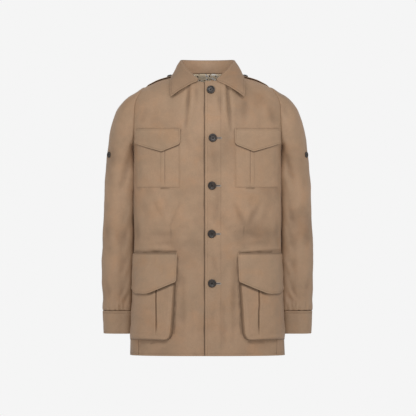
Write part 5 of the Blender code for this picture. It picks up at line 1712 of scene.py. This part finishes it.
    # Lighter bellows ridges and pleat sides, partly rubbed wax and partly painted highlight; painted shade in
    # the open pleat and at the inner and lower edges.
    wear_and_painted_light = 0.4 * bell(
        left - 14.0 - corner, 2.5
    ) + 0.4 * bell(foot - 17.0, 3.0) * fade(left, 10.0, 25.0) - 0.8 * open_pleat
    wear_and_painted_light = wear_and_painted_light - 0.9 * bell(left - 1.0, 3.0) - 0.8 * bell(foot - 0.5, 2.2) + 0.25 * beside
    # Painted shadow on the bag just below the flap's lower edge.
    wear_and_painted_light = wear_and_painted_light - 1.6 * below_edge(low_flap, bag, 3.5, 5.0) * (1 - 0.62 * fade(bag[..., 0], 140.0, 165.0))
    surface = bag + out * lift[..., None]
    surface = smoothed(surface, 1)
    facing = normals_of(surface, False, out)
    piece = shell(f"lower_pocket_{side}_cloth", surface * flip, facing * flip, 1.0, False, canvas, wear_and_painted_light)
    belongs(piece, CANVAS_SLOT, f"lower_pocket_{side}")
    lines = [
        sewn(surface, facing, foot, 3.0, True, 0.03, 0.98),
        sewn(surface, facing, left, 3.0, False, 0.02, 0.97)
    ]
    lines += [
        sewn(surface, facing, left, 17.5, False, 0.14, 0.97),
        sewn(surface, facing, right, 9.0, False, 0.04, 0.97)
    ]
    belongs(
        stitches(f"lower_pocket_{side}_stitches", lines, thread, 2.7, mirror=side == "right"), CANVAS_SLOT
    )
    bag_tree = tree_of(surface)

    # The lower flap rides out over the bag.
    flap = low_flap
    shares = flap_shares
    out = ring_normals(flap)
    left, right, foot, top = edge_distances(flap)
    edge = np.minimum(np.minimum(left, right), foot)
    real = flap * flip
    u = np.maximum(shares, 0.078)[None, :]
    v = np.clip((flap[..., 2] + 721.0) / 229.0, 0.0, 1.0)
    over = 15.0 * (1 - 0.93 * fade(u, 0.52, 0.95)) * (1 - 0.85 * fade(v, 0.70, 1.0))
    lift = 4.4 + over * fade(top, 0.0, 16.0) + body_relief(real) * 0.6 + 0.5 * lumps(
        real, 23.0 + vary, 58.0
    ) * fade(top, 0.0, 30.0)
    lift = lift - 1.8 * (1 - fade(top, 0.0, 6.0)) + 4.2 * bell(foot, 10.0) * (
        1 - 0.8 * fade(left, 70.0, 120.0)
    )
    surface = flap + out * raised(flap, out, lift, bag_tree, 1.8, 10)[..., None]
    groove = -0.35 * bell(edge - 4.5, 0.9) - 0.3 * bell(edge, 0.8) - 0.4 * bell(top - 4.0, 0.9)
    facing = normals_of(surface, False, out)
    surface = surface + facing * groove[..., None]
    # Lighter edges, partly rubbed wax and partly painted highlight; a band of painted shade along the sewn
    # top, and painted shade along the stitch rows.
    wear_and_painted_light = (
        0.6 * bell(edge - 0.5, 1.3) - 0.25 * bell(edge - 4.5, 1.0) - 0.8 * bell(top, 3.2)
        - 0.25 * bell(top - 4.0, 1.0)
    )
    lines = [
        sewn(surface, facing, foot, 4.5, True, 0.03, 0.97), sewn(surface, facing, top, 4.0, True, 0.01, 0.99)
    ]
    lines += [
        sewn(surface, facing, left, 4.5, False, 0.05, 1.0),
        sewn(surface, facing, right, 4.5, False, 0.05, 1.0)
    ]
    piece = shell(f"lower_flap_{side}_cloth", surface * flip, facing * flip, 1.3, False, trim, wear_and_painted_light)
    belongs(piece, TRIM_SLOT, f"lower_flap_{side}")
    belongs(stitches(f"lower_flap_{side}_stitches", lines, thread, 2.7, mirror=side == "right"), TRIM_SLOT)

# ---------------------------------------------------------------- buttons and buttonholes

BUTTON_ROUND = (
    (0.00, 0.165), (0.30, 0.160), (0.50, 0.158), (0.60, 0.172), (0.67, 0.215), (0.73, 0.262), (0.80, 0.285),
    (0.87, 0.283), (0.93, 0.262), (0.975, 0.222), (1.00, 0.165), (0.995, 0.110), (0.95, 0.055), (0.86, 0.015),
    (0.70, 0.0), (0.0, 0.0),
)
SEGMENTS = 64


def button(name, centre, axis, radius, spin=0.0):
    """A turned four-hole button with its sewing thread, as two pieces."""
    work = bmesh.new()
    loops = []
    for out, height in BUTTON_ROUND:
        if out == 0.0:
            loops.append([work.verts.new((0.0, 0.0, height * radius))])
            continue
        turn = [2 * math.pi * k / SEGMENTS for k in range(SEGMENTS)]
        loops.append([work.verts.new(
            (out * radius * math.cos(t), out * radius * math.sin(t), height * radius)
        ) for t in turn])
    for low, high in zip(loops[:-1], loops[1:]):
        for k in range(SEGMENTS):
            m = (k + 1) % SEGMENTS
            if len(low) == 1:
                work.faces.new((low[0], high[k], high[m]))
            elif len(high) == 1:
                work.faces.new((low[k], high[0], low[m]))
            else:
                work.faces.new((low[k], high[k], high[m], low[m]))
    bmesh.ops.recalc_face_normals(work, faces=work.faces)
    body = bpy.data.meshes.new(name)
    work.to_mesh(body)
    work.free()
    disc = bpy.data.objects.new(name, body)
    bpy.context.collection.objects.link(disc)
    cutters = []
    hole, spread = 0.095 * radius, 0.165 * radius
    for k in range(4):
        t = RIGHT_ANGLE * k + RIGHT_ANGLE / 2
        drill = bmesh.new()
        bmesh.ops.create_cone(drill, cap_ends=True, segments=18, radius1=hole, radius2=hole, depth=radius)
        bmesh.ops.translate(drill, verts=drill.verts, vec=(spread * math.cos(t), spread * math.sin(t), 0.0))
        cut_mesh = bpy.data.meshes.new("hole")
        drill.to_mesh(cut_mesh)
        drill.free()
        cutter = bpy.data.objects.new("hole", cut_mesh)
        bpy.context.collection.objects.link(cutter)
        cut = disc.modifiers.new("hole", "BOOLEAN")
        cut.operation = "DIFFERENCE"
        cut.solver = "EXACT"
        cut.object = cutter
        cutters.append(cutter)
    graph = bpy.context.evaluated_depsgraph_get()
    drilled = bpy.data.meshes.new_from_object(disc.evaluated_get(graph))
    disc.modifiers.clear()
    disc.data = drilled
    for cutter in cutters:
        bpy.data.objects.remove(cutter, do_unlink=True)
    aim = Vector((0.0, 0.0, 1.0)).rotation_difference(Vector(axis).normalized()).to_matrix().to_4x4()
    place = Matrix.Translation(
        Vector(centre) * MM
    ) @ aim @ Matrix.Rotation(spin, 4, "Z") @ Matrix.Scale(MM, 4)
    drilled.transform(place)
    for face in drilled.polygons:
        face.use_smooth = True
    drilled.materials.clear()
    drilled.materials.append(horn)
    drilled.set_sharp_from_angle(angle=math.radians(40))

    strands = bmesh.new()
    for first_hole, last_hole in ((0, 2), (1, 3), (0, 2), (1, 3)):
        shift = 0.03 * radius * (1 if len(strands.verts) > 120 else -1)
        ends = []
        for k in (first_hole, last_hole):
            t = RIGHT_ANGLE * k + RIGHT_ANGLE / 2
            ends.append(Vector((spread * math.cos(t), spread * math.sin(t), 0.0)))
        side = (ends[1] - ends[0]).normalized().cross(Vector((0, 0, 1))) * shift
        path = [
            ends[0] + side - Vector((0, 0, -0.02 * radius)),
            ends[0] + side + Vector((0, 0, 0.17 * radius)),
            (ends[0] + ends[1]) / 2 + side + Vector((0, 0, 0.225 * radius)),
            ends[1] + side + Vector((0, 0, 0.17 * radius)),
            ends[1] + side - Vector((0, 0, -0.02 * radius)),
        ]
        thick = 0.032 * radius
        rings = []
        for index, point in enumerate(path):
            ahead = (path[min(index + 1, 4)] - path[max(index - 1, 0)]).normalized()
            across = ahead.cross(Vector((0.31, 0.17, 0.93))).normalized()
            over = ahead.cross(across).normalized()
            ring = []
            for m in range(6):
                t = math.pi * m / 3
                ring.append(strands.verts.new(point + (across * math.cos(t) + over * math.sin(t)) * thick))
            rings.append(ring)
        for low, high in zip(rings[:-1], rings[1:]):
            for m in range(6):
                strands.faces.new((low[m], low[(m + 1) % 6], high[(m + 1) % 6], high[m]))
        strands.faces.new(rings[0][::-1])
        strands.faces.new(rings[-1])
    bmesh.ops.recalc_face_normals(strands, faces=strands.faces)
    thread_mesh = bpy.data.meshes.new(name + "_thread")
    strands.to_mesh(thread_mesh)
    strands.free()
    thread_mesh.transform(place)
    for face in thread_mesh.polygons:
        face.use_smooth = True
    thread_mesh.materials.append(dark_thread)
    sewing = bpy.data.objects.new(name + "_thread", thread_mesh)
    bpy.context.collection.objects.link(sewing)
    return disc, sewing


def seated(tree, start, direction):
    found, normal, _, _ = tree.ray_cast(Vector(start), Vector(direction))
    if normal.dot(Vector(direction)) > 0:
        normal = -normal
    return found, normal


front_tree = tree_of(front_data["left"][2])
tilts = ((-0.10, -0.16), (0.02, 0.02), (-0.02, 0.03), (0.02, 0.0), (0.0, 0.03))
for k, ((x, z), (sideways, upwards)) in enumerate(zip(FRONT_BUTTONS, tilts)):
    found, normal = seated(front_tree, (x, -400.0, z), (0.0, 1.0, 0.0))
    axis = (normal + Vector((sideways, 0.0, upwards))).normalized()
    for piece in button(
        f"button_front_{k + 1}_horn", found + normal * (0.6 + 1.3 * abs(upwards) * 8), axis, 11.6, 0.3 * k
    ):
        belongs(piece, HORN_SLOT, *([f"button_front_{k + 1}"] if piece.name.endswith("horn") else []))

epaulette_tree = tree_of(epaulette_surface)
found, normal = seated(epaulette_tree, (105.6, -8.0, 200.0), (0.0, 0.0, -1.0))
sleeve_tree = tree_of(sleeve_outer["left"][0])
sleeve_found, sleeve_normal = seated(sleeve_tree, (400.0, 3.0, -203.0), (-1.0, 0.0, 0.0))
right_tree = tree_of(sleeve_outer["right"][0])
right_found, right_normal = seated(right_tree, (-400.0, 3.0, -203.0), (1.0, 0.0, 0.0))
spots = (
    ("epaulette_left", found, normal, 7.6),
    ("epaulette_right", found * Vector((-1, 1, 1)), normal * Vector((-1, 1, 1)), 7.6),
    ("sleeve_left", sleeve_found, sleeve_normal, 8.5),
    ("sleeve_right", right_found, right_normal, 8.5),
)
# how far a button leans towards the front, and how far it stands off its cloth, in mm
LEANING = {"sleeve": (0.22, 0.9), "epaulette": (0.36, 3.0)}
for name, place, normal, radius in spots:
    lean, rise = LEANING.get(name.split("_")[0], (0.0, 0.9))
    normal = (normal + Vector((0.0, -lean, 0.0))).normalized()
    for piece in button(f"button_{name}_horn", place + normal * rise, normal, radius, 0.4):
        belongs(piece, HORN_SLOT, *([f"button_{name}"] if piece.name.endswith("horn") else []))


def buttonhole(name, x, z, length=26.0, half_height=2.0):
    """A worked buttonhole: a ring of close thread round a slit filled with a dark strip of painted shade,
    lying on the front.
    """
    points, quads = [], []
    count = 150
    straight = length - 2 * half_height
    around = 2 * straight + 2 * math.pi * half_height
    for k in range(count):
        at = around * k / count
        if at < straight:
            cx, cz, dx, dz = at, -half_height, 0.0, -1.0
        elif at < straight + math.pi * half_height:
            t = (at - straight) / half_height - RIGHT_ANGLE
            cx, cz, dx, dz = (
                straight + half_height * math.cos(t), half_height * math.sin(t), math.cos(t), math.sin(t)
            )
        elif at < 2 * straight + math.pi * half_height:
            cx, cz, dx, dz = straight - (at - straight - math.pi * half_height), half_height, 0.0, 1.0
        else:
            t = (at - 2 * straight - math.pi * half_height) / half_height + RIGHT_ANGLE
            cx, cz, dx, dz = half_height * math.cos(t), half_height * math.sin(t), math.cos(t), math.sin(t)
        thick = 0.46 if k % 2 else 0.34
        for m in range(6):
            t = math.pi * m / 3
            off = math.cos(t) * 0.95
            points.append((x + cx + dx * off, z + cz + dz * off, 0.35 + math.sin(t) * thick))
    for k in range(count):
        n = (k + 1) % count
        for m in range(6):
            p = (m + 1) % 6
            quads.append((k * 6 + m, k * 6 + p, n * 6 + p, n * 6 + m))
    # The slit is a dark strip standing in for the shade inside the opening: painted shade.
    slit_points, slit_quads = [], []
    for k in range(31):
        share = k / 30
        half = 1.6 * math.sin(math.pi * min(max(share, 0.03), 0.97)) ** 0.4
        for off, height in ((-half, 0.10), (half, 0.10), (half, -0.25), (-half, -0.25)):
            slit_points.append((x + straight * share, z + off + 0.2 * math.sin(3 * share), height))
    for k in range(30):
        for m in range(4):
            p = (m + 1) % 4
            slit_quads.append((k * 4 + m, k * 4 + p, k * 4 + 4 + p, k * 4 + 4 + m))
    slit_quads += [(3, 2, 1, 0), (120, 121, 122, 123)]
    made = []
    for part, places, faces, look in (
        (name, points, quads, pale_thread), (name + "_slit", slit_points, slit_quads, dark_thread)
    ):
        laid = []
        for px, pz, height in places:
            found, normal = seated(front_tree, (px, -400.0, pz), (0.0, 1.0, 0.0))
            laid.append(found + normal * height)
        piece = flat_mesh(part, np.array(laid), faces, look)
        made.append(belongs(piece, CANVAS_SLOT))
    return made


for k, (x, z) in enumerate(FRONT_BUTTONS[1:]):
    buttonhole(f"buttonhole_{k + 2}", x - 1.5, z - 0.5, 28.5)


# ---------------------------------------------------------------- floor, light and camera

floor_mesh = bpy.data.meshes.new("floor")
SIZE, FLOOR_Z = 5.0, -1.5
corners = [(-SIZE, -SIZE, FLOOR_Z), (SIZE, -SIZE, FLOOR_Z), (SIZE, SIZE, FLOOR_Z), (-SIZE, SIZE, FLOOR_Z)]
floor_mesh.from_pydata(corners, [], [(0, 1, 2, 3)])
floor_mesh.materials.append(plain_look("pale_floor", (0.80, 0.80, 0.80), 0.9))
floor = bpy.data.objects.new("floor", floor_mesh)
bpy.context.collection.objects.link(floor)

world = bpy.data.worlds.new("studio")
bpy.context.scene.world = world
world.use_nodes = True
tree = world.node_tree
tree.nodes.clear()
path = tree.nodes.new("ShaderNodeLightPath")
output = tree.nodes.new("ShaderNodeOutputWorld")
mix = tree.nodes.new("ShaderNodeMixShader")
ambient = tree.nodes.new("ShaderNodeBackground")
ambient.inputs["Color"].default_value = (1.0, 1.0, 1.0, 1.0)
ambient.inputs["Strength"].default_value = 0.58
backdrop = tree.nodes.new("ShaderNodeBackground")
backdrop.inputs["Color"].default_value = (0.913, 0.913, 0.913, 1.0)
tree.links.new(path.outputs["Is Camera Ray"], mix.inputs["Fac"])
tree.links.new(ambient.outputs[0], mix.inputs[1])
tree.links.new(backdrop.outputs[0], mix.inputs[2])
tree.links.new(mix.outputs[0], output.inputs["Surface"])


def soft_light(name, place, aim, size, energy):
    lamp = bpy.data.lights.new(name, "AREA")
    lamp.shape = "RECTANGLE"
    lamp.size, lamp.size_y = size
    lamp.energy = energy
    made = bpy.data.objects.new(name, lamp)
    bpy.context.collection.objects.link(made)
    made.location = place
    made.rotation_euler = (Vector(aim) - Vector(place)).to_track_quat("-Z", "Y").to_euler()
    # Only the key light shows in gloss, so the others leave no glints on edges.
    made.visible_glossy = name.startswith("key")
    return made


MIDDLE = (0.0, 0.0, -0.35)
soft_light("key", (0.1, -3.2, 1.25), (0.0, 0.0, -0.15), (1.4, 0.9), 35.0)
soft_light("fill_left", (-2.0, -2.9, 0.0), MIDDLE, (1.4, 2.0), 13.0)
soft_light("fill_right", (2.0, -2.9, 0.0), MIDDLE, (1.4, 2.0), 13.0)
soft_light("back_light", (0.0, 3.2, 1.8), MIDDLE, (2.4, 1.6), 44.0)

camera_data = bpy.data.cameras.new("camera")
camera_data.sensor_width = 36.0
camera_data.lens = 369.3
camera_data.clip_end = 60.0
camera = bpy.data.objects.new("camera", camera_data)
bpy.context.collection.objects.link(camera)
camera.location = (0.0014, -12.0, -0.3528)
camera.rotation_euler = (RIGHT_ANGLE, 0.0, 0.0)
bpy.context.scene.camera = camera
bpy.context.scene.view_settings.view_transform = "Standard"
